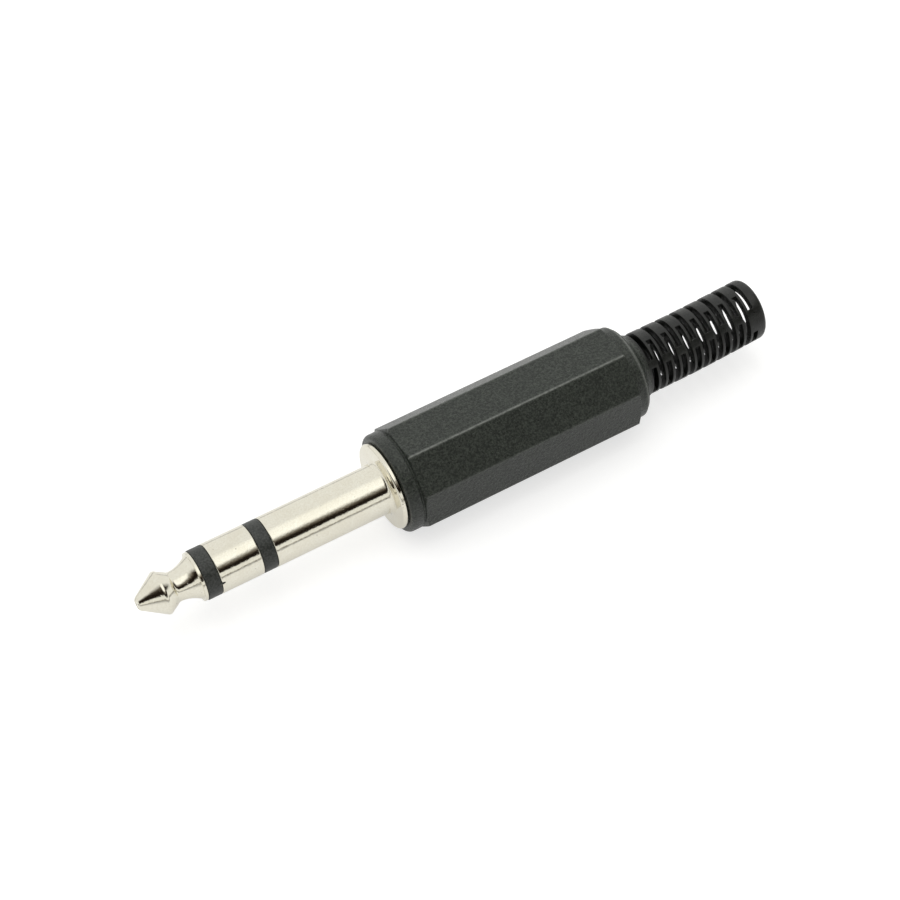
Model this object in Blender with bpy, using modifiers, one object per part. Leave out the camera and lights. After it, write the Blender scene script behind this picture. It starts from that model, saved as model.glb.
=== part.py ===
"""A 6.35 mm stereo jack plug with a screw-on octagonal cover and a slotted strain relief.

Units are metres and +Z is up. The plug lies along X on one flat of its cover, with the tip at -X
and the cable end at +X. The origin is under its middle, on the surface that it lies on.
Stations are distances along the plug from its nose, and radii are measured from its axis.
Run with: blender --background --python part.py
"""

import math
from dataclasses import dataclass

import bmesh
import bpy
from mathutils import Matrix, Vector

MM = 0.001

# Plug shaft: tip, ring and sleeve contacts with an insulating band between each two
SHAFT_DIAMETER = 6.35 * MM
TIP_LENGTH = 7.7 * MM
BAND_WIDTH = 1.83 * MM
RING_LENGTH = 5.42 * MM
INSERTION_LENGTH = 32.2 * MM
BAND_SINK = 0.03 * MM

# Tip form
NOSE_RADIUS = 0.72 * MM
NOSE_CHAMFER = 0.16 * MM
HEAD_STATION = 3.1 * MM
HEAD_DIAMETER = 5.6 * MM
HEAD_ROUND = 0.42 * MM
WAIST_STATION = 4.85 * MM
WAIST_DIAMETER = 3.76 * MM
WAIST_ROUND = 0.75 * MM
BACK_SLOPE = math.radians(42)
FLARE_DIAMETER = 5.5 * MM
LAND_WIDTH = 0.38 * MM
LAND_DIAMETER = 6.15 * MM

# Root of the shaft, flange and threaded barrel
ROOT_FILLET = 0.6 * MM
FLANGE_DIAMETER = 11.0 * MM
FLANGE_THICKNESS = 0.6 * MM
FLANGE_ROUND = 0.34 * MM
BARREL_DIAMETER = 9.5 * MM
BARREL_LENGTH = 9.5 * MM
BARREL_CHAMFER = 0.35 * MM

# Nested conductors and insulating tubes inside the shaft
ROD_RADIUS = 1.0 * MM
ROD_TIP_RADIUS = 0.5 * MM
ROD_TIP_LENGTH = 1.3 * MM
ROD_TIP_CHAMFER = 0.15 * MM
ROD_HEAD_RADIUS = 1.75 * MM
ROD_HEAD_LENGTH = 0.8 * MM
INSULATION_WALL = 0.45 * MM
RING_TUBE_WALL = 0.3 * MM
RING_TUBE_FLARE = 0.55 * MM
RING_TUBE_FLARE_LENGTH = 0.3 * MM
NEST_CLEARANCE = 0.05 * MM

# Solder end: earth clamp, washers and terminals, stacked behind the barrel
CLAMP_THICKNESS = 0.8 * MM
STRIP_BEND = 0.3 * MM
CLAMP_DISC_RADIUS = 3.9 * MM
CLAMP_STRIP_WIDTH = 4.2 * MM
CLAMP_STRIP_DROP = 3.9 * MM
CLAMP_END_GAP = 1.5 * MM
CRADLE_LENGTH = 5.0 * MM
CRADLE_ANGLE = math.radians(170)
WASHER_THICKNESS = 0.8 * MM
WASHER_CLEARANCE = 0.1 * MM
LUG_THICKNESS = 0.5 * MM
LUG_WIDTH = 2.2 * MM
LUG_DISC_RADIUS = 2.9 * MM
LUG_HOLE_RADIUS = 0.55 * MM
RING_LUG_RISE = 4.2 * MM
RING_LUG_LENGTH = 7.0 * MM
RING_LUG_TURN = math.radians(50)
TIP_LUG_RISE = 3.9 * MM
TIP_LUG_LENGTH = 8.5 * MM
TIP_LUG_TURN = math.radians(-50)

# Cover: an octagon between two round collars
COVER_ACROSS_FLATS = 12.7 * MM
COVER_GAP = 0.12 * MM
COVER_MOUTH_DROP = 0.45 * MM
COVER_MOUTH_ROUND = 0.6 * MM
COLLAR_SINK = 0.02 * MM
FRONT_COLLAR_LENGTH = 1.53 * MM
GROOVE_DEPTH = 0.12 * MM
GROOVE_WIDTH = 0.3 * MM
GRIP_LENGTH = 30.45 * MM
GRIP_LEAD_IN = 0.35 * MM
GRIP_RUN_OUT = 0.5 * MM
EDGE_ROUND = 0.28 * MM
REAR_COLLAR_DROP = 0.35 * MM
REAR_COLLAR_LENGTH = 1.15 * MM
REAR_RIM_LENGTH = 0.3 * MM
REAR_RIM_DROP = 0.35 * MM
SHOULDER_LENGTH = 1.45 * MM
SHOULDER_SWEEP = 2.2
THREAD_CLEARANCE = 0.15 * MM
THREAD_RUN_OUT = 1.25 * MM
CAVITY_DIAMETER = 10.0 * MM
REAR_WALL = 2.3 * MM

# Strain relief
BOOT_FRONT_DIAMETER = 8.0 * MM
BOOT_END_DIAMETER = 7.9 * MM
BOOT_EXPOSED_LENGTH = 17.5 * MM
BOOT_BORE_DIAMETER = 6.4 * MM
BOOT_END_ROUND = 0.6 * MM
BOOT_CLEARANCE = 0.12 * MM
BOOT_FLANGE_CLEARANCE = 0.2 * MM
BOOT_FLANGE_LENGTH = 1.3 * MM
SLOT_PITCH = 1.07 * MM
SLOT_WIDTH = 0.64 * MM
SLOT_END_MARGIN = 1.53 * MM
SLOT_FRONT_MARGIN = 0.3 * MM
CUTTER_REACH = 1.0 * MM

# Webs that cross every second slot and those between: middle and width in degrees, from +Y up
EVEN_SLOT_WEBS = ((2, 40), (138, 15), (230, 53))
ODD_SLOT_WEBS = ((65, 58), (302, 50))

# Fineness of round forms, and the step between faces that would otherwise lie in one plane
COVER_FLATS = 8
ROUND_STEPS = 36
ARC_STEPS = 4
FLARE_STEPS = 7
EDGE_STEPS = 3
HOLE_STEPS = 16
SHOULDER_STEPS = 5
SECTOR_STEP = math.radians(20)
SHARP_ANGLE = math.radians(28)
MERGE_DISTANCE = 0.001 * MM
STAMPING_STEP = 0.02 * MM

# Looks: base colour, metallic and roughness
NICKEL = ((0.78, 0.75, 0.68), 1.0, 0.16)
TINNED = ((0.70, 0.68, 0.62), 1.0, 0.34)
BAND_BLACK = ((0.045, 0.048, 0.045), 0.0, 0.42)
WASHER_BROWN = ((0.30, 0.15, 0.07), 0.0, 0.55)
COVER_BLACK = ((0.05, 0.054, 0.05), 0.0, 0.5)
BOOT_BLACK = ((0.012, 0.013, 0.012), 0.0, 0.34)

# Radii that follow from the sizes above
SHAFT_RADIUS = SHAFT_DIAMETER / 2
TIP_TUBE_BORE = ROD_RADIUS + NEST_CLEARANCE
TIP_TUBE_RADIUS = TIP_TUBE_BORE + INSULATION_WALL
RING_TUBE_BORE = TIP_TUBE_RADIUS + NEST_CLEARANCE
RING_TUBE_RADIUS = RING_TUBE_BORE + RING_TUBE_WALL
RING_SLEEVE_BORE = RING_TUBE_RADIUS + NEST_CLEARANCE
RING_SLEEVE_RADIUS = RING_SLEEVE_BORE + INSULATION_WALL
SLEEVE_BORE = RING_SLEEVE_RADIUS + NEST_CLEARANCE
BARREL_RADIUS = BARREL_DIAMETER / 2
WASHER_RADIUS = CLAMP_STRIP_DROP - CLAMP_THICKNESS / 2 - STRIP_BEND - WASHER_CLEARANCE
GRIP_APOTHEM = COVER_ACROSS_FLATS / 2
GRIP_CORNER = GRIP_APOTHEM / math.cos(math.pi / COVER_FLATS)
COLLAR_RADIUS = GRIP_APOTHEM - COLLAR_SINK
COVER_MOUTH_RADIUS = COLLAR_RADIUS - COVER_MOUTH_DROP
REAR_COLLAR_RADIUS = GRIP_APOTHEM - REAR_COLLAR_DROP
REAR_RIM_RADIUS = REAR_COLLAR_RADIUS - REAR_RIM_DROP
THREAD_BORE_RADIUS = BARREL_RADIUS + THREAD_CLEARANCE
CAVITY_RADIUS = CAVITY_DIAMETER / 2
BOOT_FLANGE_RADIUS = CAVITY_RADIUS - BOOT_FLANGE_CLEARANCE
BOOT_FRONT_RADIUS = BOOT_FRONT_DIAMETER / 2
BOOT_END_RADIUS = BOOT_END_DIAMETER / 2
BOOT_BORE_RADIUS = BOOT_BORE_DIAMETER / 2
REAR_HOLE_RADIUS = BOOT_FRONT_RADIUS + BOOT_CLEARANCE

# Stations along the plug, from the nose backwards
RING_START = TIP_LENGTH + BAND_WIDTH
RING_END = RING_START + RING_LENGTH
SLEEVE_START = RING_END + BAND_WIDTH
FLANGE_REAR = INSERTION_LENGTH + FLANGE_THICKNESS
BARREL_END = FLANGE_REAR + BARREL_LENGTH
CLAMP_START = BARREL_END + NEST_CLEARANCE
RING_WASHER_START = CLAMP_START + CLAMP_THICKNESS + NEST_CLEARANCE
RING_LUG_START = RING_WASHER_START + WASHER_THICKNESS + NEST_CLEARANCE
RING_TUBE_FLARE_START = RING_LUG_START + LUG_THICKNESS + NEST_CLEARANCE
RING_TUBE_END = RING_TUBE_FLARE_START + RING_TUBE_FLARE_LENGTH
TIP_WASHER_START = RING_TUBE_END + NEST_CLEARANCE
TIP_LUG_START = TIP_WASHER_START + WASHER_THICKNESS + NEST_CLEARANCE
ROD_HEAD_START = TIP_LUG_START + LUG_THICKNESS + NEST_CLEARANCE
ROD_END = ROD_HEAD_START + ROD_HEAD_LENGTH
COVER_START = FLANGE_REAR + COVER_GAP
GRIP_START = COVER_START + FRONT_COLLAR_LENGTH + GROOVE_WIDTH
GRIP_END = GRIP_START + GRIP_LENGTH
REAR_RIM_START = GRIP_END + REAR_COLLAR_LENGTH
SHOULDER_START = REAR_RIM_START + REAR_RIM_LENGTH
COVER_END = SHOULDER_START + SHOULDER_LENGTH
CAVITY_END = COVER_END - REAR_WALL
BOOT_NECK_START = CAVITY_END - BOOT_CLEARANCE
BOOT_START = BOOT_NECK_START - BOOT_FLANGE_LENGTH
CLAMP_END = BOOT_START - CLAMP_END_GAP
PLUG_LENGTH = COVER_END + BOOT_EXPOSED_LENGTH
AXIS_HEIGHT = GRIP_APOTHEM


def clear_scene() -> None:
    """Remove whatever the scene holds."""
    for old in list(bpy.data.objects):
        bpy.data.objects.remove(old, do_unlink=True)


def collection(name: str) -> bpy.types.Collection:
    """Return a new collection linked to the scene."""
    made = bpy.data.collections.new(name)
    bpy.context.scene.collection.children.link(made)
    return made


def material(name: str, look: tuple) -> bpy.types.Material:
    """Return a Principled BSDF material with one of the looks listed at the top."""
    colour, metallic, roughness = look
    made = bpy.data.materials.new(name)
    made.use_nodes = True
    shader = made.node_tree.nodes["Principled BSDF"]
    shader.inputs["Base Color"].default_value = (*colour, 1.0)
    shader.inputs["Metallic"].default_value = metallic
    shader.inputs["Roughness"].default_value = roughness
    return made


def axis_matrix(station: float = 0.0) -> Matrix:
    """Return the placement that lays a shape's local Z along the plug, from a station."""
    place = Vector((station - PLUG_LENGTH / 2, 0.0, AXIS_HEIGHT))
    return Matrix.Translation(place) @ Matrix.Rotation(math.pi / 2, 4, "Y")


def arc(station: float, radius: float, size: float, start: float, end: float) -> list:
    """Return points of a profile arc.

    Args:
        station: Station of the arc's centre.
        radius: Distance of the centre from the plug's axis.
        size: Radius of the arc.
        start: First angle in degrees, 0 pointing to the rear and 90 outwards.
        end: Last angle in degrees.
    """
    points = []
    for step in range(ARC_STEPS + 1):
        angle = math.radians(start + (end - start) * step / ARC_STEPS)
        points.append((station + size * math.cos(angle), radius + size * math.sin(angle)))
    return points


def evaluated_mesh(made: bpy.types.Object) -> bpy.types.Mesh:
    """Return a copy of an object's mesh with its modifiers applied."""
    graph = bpy.context.evaluated_depsgraph_get()
    return bpy.data.meshes.new_from_object(made.evaluated_get(graph))


def settle(made: bpy.types.Object) -> None:
    """Apply an object's modifiers and shade its round surfaces smooth."""
    old = made.data
    made.data = evaluated_mesh(made)
    made.modifiers.clear()
    made.data.name = made.name
    made.data.shade_smooth()
    made.data.set_sharp_from_angle(angle=SHARP_ANGLE)
    bpy.data.meshes.remove(old)


def add_object(name: str, mesh: bpy.types.Mesh, home: bpy.types.Collection) -> bpy.types.Object:
    """Link a new object that carries a mesh."""
    made = bpy.data.objects.new(name, mesh)
    home.objects.link(made)
    return made


def turned(
    name: str, outline: list, home: bpy.types.Collection, closed: bool = True
) -> bpy.types.Object:
    """Turn an outline about the plug's axis.

    Args:
        name: The object's name.
        outline: Points (station, radius) from the rear forwards along the outside, and back
            along the bore where the outline is closed.
        home: The collection that the object goes in.
        closed: True for a ring with a bore, False for a solid whose ends lie on the axis.
    """
    mesh = bpy.data.meshes.new(name)
    points = [(radius, 0.0, station) for station, radius in outline]
    edges = [(i, i + 1) for i in range(len(points) - 1)]
    if closed:
        edges.append((len(points) - 1, 0))
    mesh.from_pydata(points, edges, [])
    made = add_object(name, mesh, home)
    screw = made.modifiers.new("Turn", "SCREW")
    screw.axis = "Z"
    screw.steps = ROUND_STEPS
    screw.render_steps = ROUND_STEPS
    screw.use_merge_vertices = True
    screw.merge_threshold = MERGE_DISTANCE
    made.matrix_world = axis_matrix()
    return made


def bent_strip(
    name: str, outline: list, width: float, turn: float, home: bpy.types.Collection
) -> bpy.types.Object:
    """Add a bent strip: a side outline drawn out to a width.

    Args:
        name: The object's name.
        outline: Points (station, height above the axis) round the strip's side.
        width: Width of the strip.
        turn: Turn about the plug's axis in radians.
        home: The collection that the object goes in.
    """
    curve = bpy.data.curves.new(name, "CURVE")
    curve.dimensions = "2D"
    curve.fill_mode = "BOTH"
    curve.extrude = width / 2
    spline = curve.splines.new("POLY")
    spline.points.add(len(outline) - 1)
    for point, (station, height) in zip(spline.points, outline):
        point.co = (station, height, 0.0, 1.0)
    spline.use_cyclic_u = True
    drawn = add_object(name, curve, home)
    place = Vector((-PLUG_LENGTH / 2, 0.0, AXIS_HEIGHT))
    upright = Matrix.Rotation(turn, 4, "X") @ Matrix.Rotation(math.pi / 2, 4, "X")
    drawn.matrix_world = Matrix.Translation(place) @ upright
    mesh = evaluated_mesh(drawn)
    shape = bmesh.new()
    shape.from_mesh(mesh)
    bmesh.ops.remove_doubles(shape, verts=shape.verts, dist=MERGE_DISTANCE)
    bmesh.ops.recalc_face_normals(shape, faces=shape.faces)
    shape.to_mesh(mesh)
    shape.free()
    strip = add_object(name + "_strip", mesh, home)
    strip.matrix_world = drawn.matrix_world
    bpy.data.objects.remove(drawn, do_unlink=True)
    return strip


def corner_outline(start: float, foot: float, top: float, end: float, thickness: float) -> list:
    """Return the side of a strip that rises from a disc and then bends back along the plug.

    Args:
        start: Station of the riser's front face.
        foot: Height at which the riser starts inside its disc.
        top: Height of the tongue's outer face.
        end: Station where the tongue ends.
        thickness: Thickness of the strip.
    """
    outer = STRIP_BEND + thickness
    points = [(start, foot)]
    points += arc(start + outer, top - outer, outer, 180, 90)
    points += [(end, top), (end, top - thickness)]
    points += arc(start + outer, top - outer, STRIP_BEND, 90, 180)
    points.append((start + thickness, foot))
    return points


def hide_cutter(cutter: bpy.types.Object) -> None:
    """Mark an object as a guide that isn't part of the plug."""
    cutter.hide_render = True
    cutter.display_type = "WIRE"


def boolean(made: bpy.types.Object, other: bpy.types.Object, operation: str) -> None:
    """Join, cut or trim an object with another, which stays as a hidden cutter."""
    hide_cutter(other)
    step = made.modifiers.new(operation.title(), "BOOLEAN")
    step.operation = operation
    step.object = other
    step.solver = "EXACT"


def finish(made: bpy.types.Object, look: tuple) -> None:
    """Settle an object's shape and give it a material of its own."""
    settle(made)
    made.data.materials.clear()
    made.data.materials.append(material(made.name + "_look", look))


def tip_outline() -> list:
    """Return the outside of the tip contact, from its rear face forwards to the nose."""
    head = HEAD_DIAMETER / 2
    waist = WAIST_DIAMETER / 2
    flare_start = TIP_LENGTH - LAND_WIDTH
    points = [(TIP_LENGTH, LAND_DIAMETER / 2), (flare_start, LAND_DIAMETER / 2)]
    for step in range(FLARE_STEPS):
        share = 1 - step / FLARE_STEPS
        station = WAIST_STATION + (flare_start - WAIST_STATION) * share
        points.append((station, waist + (FLARE_DIAMETER / 2 - waist) * share ** 2))
    turn = math.degrees(BACK_SLOPE)
    points += arc(WAIST_STATION, waist + WAIST_ROUND, WAIST_ROUND, 270, 270 - turn)
    nose_run = HEAD_STATION - NOSE_CHAMFER
    cone = math.degrees(math.atan2(head - NOSE_RADIUS - NOSE_CHAMFER, nose_run))
    points += arc(HEAD_STATION, head - HEAD_ROUND, HEAD_ROUND, 90 - turn, 90 + cone)
    points.append((NOSE_CHAMFER, NOSE_RADIUS + NOSE_CHAMFER))
    points.append((0.0, NOSE_RADIUS))
    return points


def tip_contact(home: bpy.types.Collection) -> None:
    """Model the turned tip with the bore that its rod is riveted in."""
    nose_bore = ROD_TIP_RADIUS + NEST_CLEARANCE
    bore = [
        (0.0, nose_bore),
        (ROD_TIP_LENGTH, nose_bore),
        (ROD_TIP_LENGTH, TIP_TUBE_BORE),
        (TIP_LENGTH, TIP_TUBE_BORE),
    ]
    finish(turned("tip_contact", tip_outline() + bore, home), NICKEL)


def tip_rod(home: bpy.types.Collection) -> None:
    """Model the rod from the nose to its riveted head behind the tip terminal."""
    shank = ROD_TIP_LENGTH + NEST_CLEARANCE
    head_round = ROD_HEAD_LENGTH / 2
    outline = [(ROD_END, 0.0)]
    outline += arc(ROD_END - head_round, ROD_HEAD_RADIUS - head_round, head_round, 0, 90)
    outline += [(ROD_HEAD_START, ROD_HEAD_RADIUS), (ROD_HEAD_START, ROD_RADIUS)]
    outline += [(shank, ROD_RADIUS), (shank, ROD_TIP_RADIUS)]
    outline.append((NEST_CLEARANCE + ROD_TIP_CHAMFER, ROD_TIP_RADIUS))
    outline.append((NEST_CLEARANCE, ROD_TIP_RADIUS - ROD_TIP_CHAMFER))
    outline.append((NEST_CLEARANCE, 0.0))
    finish(turned("tip_rod", outline, home, closed=False), NICKEL)


def band(
    name: str, start: float, bore: float, tube: float, tube_end: float, home: bpy.types.Collection
) -> None:
    """Model an insulating band with the tube that it carries back through the shaft.

    Args:
        name: The object's name.
        start: Station where the contact in front ends.
        bore: Radius of the hole through the band and its tube.
        tube: Outer radius of the tube.
        tube_end: Station where the tube ends.
        home: The collection that the object goes in.
    """
    front = start + NEST_CLEARANCE
    rear = start + BAND_WIDTH - NEST_CLEARANCE
    rim = SHAFT_RADIUS - BAND_SINK
    outline = [(tube_end, tube), (rear, tube), (rear, rim), (front, rim)]
    outline += [(front, bore), (tube_end, bore)]
    finish(turned(name, outline, home), BAND_BLACK)


def insulators(home: bpy.types.Collection) -> None:
    """Model both insulating bands with their tubes."""
    tip_end = TIP_LUG_START - NEST_CLEARANCE
    band("tip_insulator", TIP_LENGTH, TIP_TUBE_BORE, TIP_TUBE_RADIUS, tip_end, home)
    ring_end = RING_LUG_START - NEST_CLEARANCE
    band("ring_insulator", RING_END, RING_SLEEVE_BORE, RING_SLEEVE_RADIUS, ring_end, home)


def ring_contact(home: bpy.types.Collection) -> None:
    """Model the ring contact, which is pressed on its tube."""
    outline = [(RING_END, SHAFT_RADIUS), (RING_START, SHAFT_RADIUS)]
    outline += [(RING_START, RING_SLEEVE_BORE), (RING_END, RING_SLEEVE_BORE)]
    finish(turned("ring_contact", outline, home), NICKEL)


def ring_tube(home: bpy.types.Collection) -> None:
    """Model the tube that carries the ring back to its terminal, with its flared end."""
    front = RING_START + NEST_CLEARANCE
    flare = RING_TUBE_RADIUS + RING_TUBE_FLARE
    outline = [(RING_TUBE_END, flare), (RING_TUBE_FLARE_START, flare)]
    outline += [(RING_TUBE_FLARE_START, RING_TUBE_RADIUS), (front, RING_TUBE_RADIUS)]
    outline += [(front, RING_TUBE_BORE), (RING_TUBE_END, RING_TUBE_BORE)]
    finish(turned("ring_tube", outline, home), TINNED)


def sleeve_contact(home: bpy.types.Collection) -> None:
    """Model the sleeve contact, its flange and the barrel that the cover screws on."""
    flange = FLANGE_DIAMETER / 2
    chamfered = BARREL_RADIUS - BARREL_CHAMFER
    outline = [(BARREL_END, chamfered), (BARREL_END - BARREL_CHAMFER, BARREL_RADIUS)]
    outline += [(FLANGE_REAR, BARREL_RADIUS), (FLANGE_REAR, flange)]
    corner = INSERTION_LENGTH + FLANGE_ROUND
    outline += arc(corner, flange - FLANGE_ROUND, FLANGE_ROUND, 90, 180)
    root = INSERTION_LENGTH - ROOT_FILLET
    outline += arc(root, SHAFT_RADIUS + ROOT_FILLET, ROOT_FILLET, 360, 270)
    outline += [(SLEEVE_START, SHAFT_RADIUS), (SLEEVE_START, SLEEVE_BORE)]
    outline.append((BARREL_END, SLEEVE_BORE))
    finish(turned("sleeve_contact", outline, home), NICKEL)


def ring_disc(
    name: str, start: float, thickness: float, bore: float, radius: float, home: bpy.types.Collection
) -> bpy.types.Object:
    """Add a flat ring round the axis."""
    end = start + thickness
    outline = [(end, radius), (start, radius), (start, bore), (end, bore)]
    return turned(name, outline, home)


def washers(home: bpy.types.Collection) -> None:
    """Model the two insulating washers of the solder end."""
    for name, start, tube in (
        ("ring_washer", RING_WASHER_START, RING_SLEEVE_RADIUS),
        ("tip_washer", TIP_WASHER_START, TIP_TUBE_RADIUS),
    ):
        bore = tube + NEST_CLEARANCE
        washer = ring_disc(name, start, WASHER_THICKNESS, bore, WASHER_RADIUS, home)
        finish(washer, WASHER_BROWN)


def cable_clamp(home: bpy.types.Collection, cutters: bpy.types.Collection) -> None:
    """Model the earth terminal: a disc, a strip along the cable and a curved crimp cradle."""
    bore = RING_SLEEVE_RADIUS + NEST_CLEARANCE
    disc = ring_disc("cable_clamp", CLAMP_START, CLAMP_THICKNESS, bore, CLAMP_DISC_RADIUS, home)
    thickness = CLAMP_THICKNESS - 2 * STAMPING_STEP
    foot = (bore + CLAMP_DISC_RADIUS) / 2
    top = CLAMP_STRIP_DROP + thickness / 2
    reach = CLAMP_END - CRADLE_LENGTH / 2
    side = corner_outline(CLAMP_START + STAMPING_STEP, foot, top, reach, thickness)
    strip = bent_strip("clamp", side, CLAMP_STRIP_WIDTH, math.pi, cutters)
    boolean(disc, strip, "UNION")
    boolean(disc, cradle(cutters), "UNION")
    finish(disc, TINNED)


def cradle(cutters: bpy.types.Collection) -> bpy.types.Object:
    """Add the crimp cradle that holds the cable: a bent sheet with its hollow facing up."""
    mesh = bpy.data.meshes.new("clamp_cradle")
    front = CLAMP_END - CRADLE_LENGTH
    line = [(CLAMP_STRIP_DROP, 0.0, CLAMP_END), (CLAMP_STRIP_DROP, 0.0, front)]
    mesh.from_pydata(line, [(0, 1)], [])
    sheet = add_object("clamp_cradle", mesh, cutters)
    bend = sheet.modifiers.new("Bend", "SCREW")
    bend.axis = "Z"
    bend.angle = CRADLE_ANGLE
    bend.steps = ROUND_STEPS // 2
    bend.render_steps = ROUND_STEPS // 2
    shell = sheet.modifiers.new("Sheet", "SOLIDIFY")
    shell.thickness = CLAMP_THICKNESS
    shell.offset = 0.0
    sheet.matrix_world = axis_matrix() @ Matrix.Rotation(-CRADLE_ANGLE / 2, 4, "Z")
    return sheet


@dataclass(frozen=True)
class Lug:
    """A solder terminal: a disc, a riser and a tongue with a hole for the wire.

    Attributes:
        name: The object's name.
        start: Station of the disc's front face.
        bore: Radius of the hole in the disc.
        rise: Distance of the tongue's outer face from the axis.
        length: Reach of the tongue behind the disc's front face.
        turn: Turn of the tongue about the axis, from straight up.
    """

    name: str
    start: float
    bore: float
    rise: float
    length: float
    turn: float

    def hole(self, cutters: bpy.types.Collection) -> bpy.types.Object:
        """Add the cutter for the hole in the tongue."""
        eye = bmesh.new()
        size = {"radius1": LUG_HOLE_RADIUS, "radius2": LUG_HOLE_RADIUS, "depth": self.rise}
        bmesh.ops.create_cone(eye, cap_ends=True, segments=HOLE_STEPS, **size)
        middle = (self.start + self.length - LUG_WIDTH / 2, 0.0, self.rise)
        bmesh.ops.translate(eye, vec=middle, verts=eye.verts)
        mesh = bpy.data.meshes.new(self.name + "_eye")
        eye.to_mesh(mesh)
        eye.free()
        made = add_object(self.name + "_eye", mesh, cutters)
        place = Vector((-PLUG_LENGTH / 2, 0.0, AXIS_HEIGHT))
        made.matrix_world = Matrix.Translation(place) @ Matrix.Rotation(self.turn, 4, "X")
        return made

    def build(self, home: bpy.types.Collection, cutters: bpy.types.Collection) -> None:
        """Model the terminal."""
        disc = ring_disc(self.name, self.start, LUG_THICKNESS, self.bore, LUG_DISC_RADIUS, home)
        foot = (self.bore + LUG_DISC_RADIUS) / 2
        end = self.start + self.length
        thickness = LUG_THICKNESS - 2 * STAMPING_STEP
        side = corner_outline(self.start + STAMPING_STEP, foot, self.rise, end, thickness)
        boolean(disc, bent_strip(self.name, side, LUG_WIDTH, self.turn, cutters), "UNION")
        boolean(disc, self.hole(cutters), "DIFFERENCE")
        finish(disc, TINNED)


def terminals(home: bpy.types.Collection, cutters: bpy.types.Collection) -> None:
    """Model the ring and tip terminals."""
    lugs = [
        Lug(
            name="ring_terminal",
            start=RING_LUG_START,
            bore=RING_TUBE_RADIUS + NEST_CLEARANCE,
            rise=RING_LUG_RISE,
            length=RING_LUG_LENGTH,
            turn=RING_LUG_TURN,
        ),
        Lug(
            name="tip_terminal",
            start=TIP_LUG_START,
            bore=ROD_RADIUS + NEST_CLEARANCE,
            rise=TIP_LUG_RISE,
            length=TIP_LUG_LENGTH,
            turn=TIP_LUG_TURN,
        ),
    ]
    for lug in lugs:
        lug.build(home, cutters)


def cover_outline() -> list:
    """Return the cover's turned form, which the octagon then trims."""
    groove = COLLAR_RADIUS - GROOVE_DEPTH
    beyond = GRIP_CORNER + COLLAR_SINK
    lip = REAR_HOLE_RADIUS + COLLAR_SINK
    points = []
    for step in range(SHOULDER_STEPS + 1):
        share = step / SHOULDER_STEPS
        radius = lip + (REAR_RIM_RADIUS - lip) * share ** SHOULDER_SWEEP
        points.append((COVER_END - SHOULDER_LENGTH * share, radius))
    points += [(REAR_RIM_START, REAR_COLLAR_RADIUS), (GRIP_END, REAR_COLLAR_RADIUS)]
    points += [(GRIP_END - GRIP_RUN_OUT, beyond), (GRIP_START + GRIP_LEAD_IN, beyond)]
    points += [(GRIP_START, groove), (GRIP_START - GROOVE_WIDTH / 2, groove)]
    points.append((GRIP_START - GROOVE_WIDTH, COLLAR_RADIUS))
    points.append((COVER_START + COVER_MOUTH_ROUND, COLLAR_RADIUS))
    for step in range(1, ARC_STEPS):
        angle = math.pi / 2 * step / ARC_STEPS
        station = COVER_START + COVER_MOUTH_ROUND * (1 - math.sin(angle))
        points.append((station, COVER_MOUTH_RADIUS + COVER_MOUTH_DROP * math.cos(angle)))
    points.append((COVER_START, COVER_MOUTH_RADIUS))
    return points


def cover(home: bpy.types.Collection, cutters: bpy.types.Collection) -> None:
    """Model the moulded cover: a turned form trimmed to an octagon with rounded edges."""
    thread_end = BARREL_END + THREAD_RUN_OUT
    widened = thread_end + abs(CAVITY_RADIUS - THREAD_BORE_RADIUS)
    bore = [
        (COVER_START, THREAD_BORE_RADIUS),
        (thread_end, THREAD_BORE_RADIUS),
        (widened, CAVITY_RADIUS),
        (CAVITY_END, CAVITY_RADIUS),
        (CAVITY_END, REAR_HOLE_RADIUS),
        (COVER_END, REAR_HOLE_RADIUS),
    ]
    body = turned("cover", cover_outline() + bore, home)
    boolean(body, grip_prism(cutters), "INTERSECT")
    finish(body, COVER_BLACK)


def grip_prism(cutters: bpy.types.Collection) -> bpy.types.Object:
    """Add the octagonal prism with rounded edges that trims the cover's grip."""
    octagon = bmesh.new()
    length = COVER_END - COVER_START + 2 * COVER_GAP
    size = {"radius1": GRIP_CORNER, "radius2": GRIP_CORNER, "depth": length}
    bmesh.ops.create_cone(octagon, cap_ends=True, segments=COVER_FLATS, **size)
    turn = Matrix.Rotation(math.pi / COVER_FLATS, 3, "Z")
    bmesh.ops.rotate(octagon, matrix=turn, verts=octagon.verts)
    edges = [e for e in octagon.edges if abs(e.verts[0].co.z - e.verts[1].co.z) > length / 2]
    style = {"offset_type": "WIDTH", "segments": EDGE_STEPS, "profile": 0.5, "affect": "EDGES"}
    bmesh.ops.bevel(octagon, geom=edges, offset=EDGE_ROUND, **style)
    mesh = bpy.data.meshes.new("grip_octagon")
    octagon.to_mesh(mesh)
    octagon.free()
    prism = add_object("grip_octagon", mesh, cutters)
    prism.matrix_world = axis_matrix((COVER_START + COVER_END) / 2)
    return prism


def slot_stations() -> list:
    """Return the stations of the strain relief's slots, from its end forwards."""
    last = PLUG_LENGTH - SLOT_END_MARGIN - SLOT_WIDTH / 2
    room = last - COVER_END - SLOT_FRONT_MARGIN - SLOT_WIDTH / 2
    count = int(room / SLOT_PITCH) + 1
    return [last - index * SLOT_PITCH for index in range(count)]


def slot_openings(webs: tuple) -> list:
    """Return the stretches between the webs of a slot.

    Args:
        webs: Middle and width of each web in degrees, in order round the axis.

    Returns:
        First and last angle of each stretch in radians.
    """
    openings = []
    for index, (middle, width) in enumerate(webs):
        following, its_width = webs[(index + 1) % len(webs)]
        turn = 360 if index == len(webs) - 1 else 0
        last = following + turn - its_width / 2
        openings.append((math.radians(middle + width / 2), math.radians(last)))
    return openings


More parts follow.
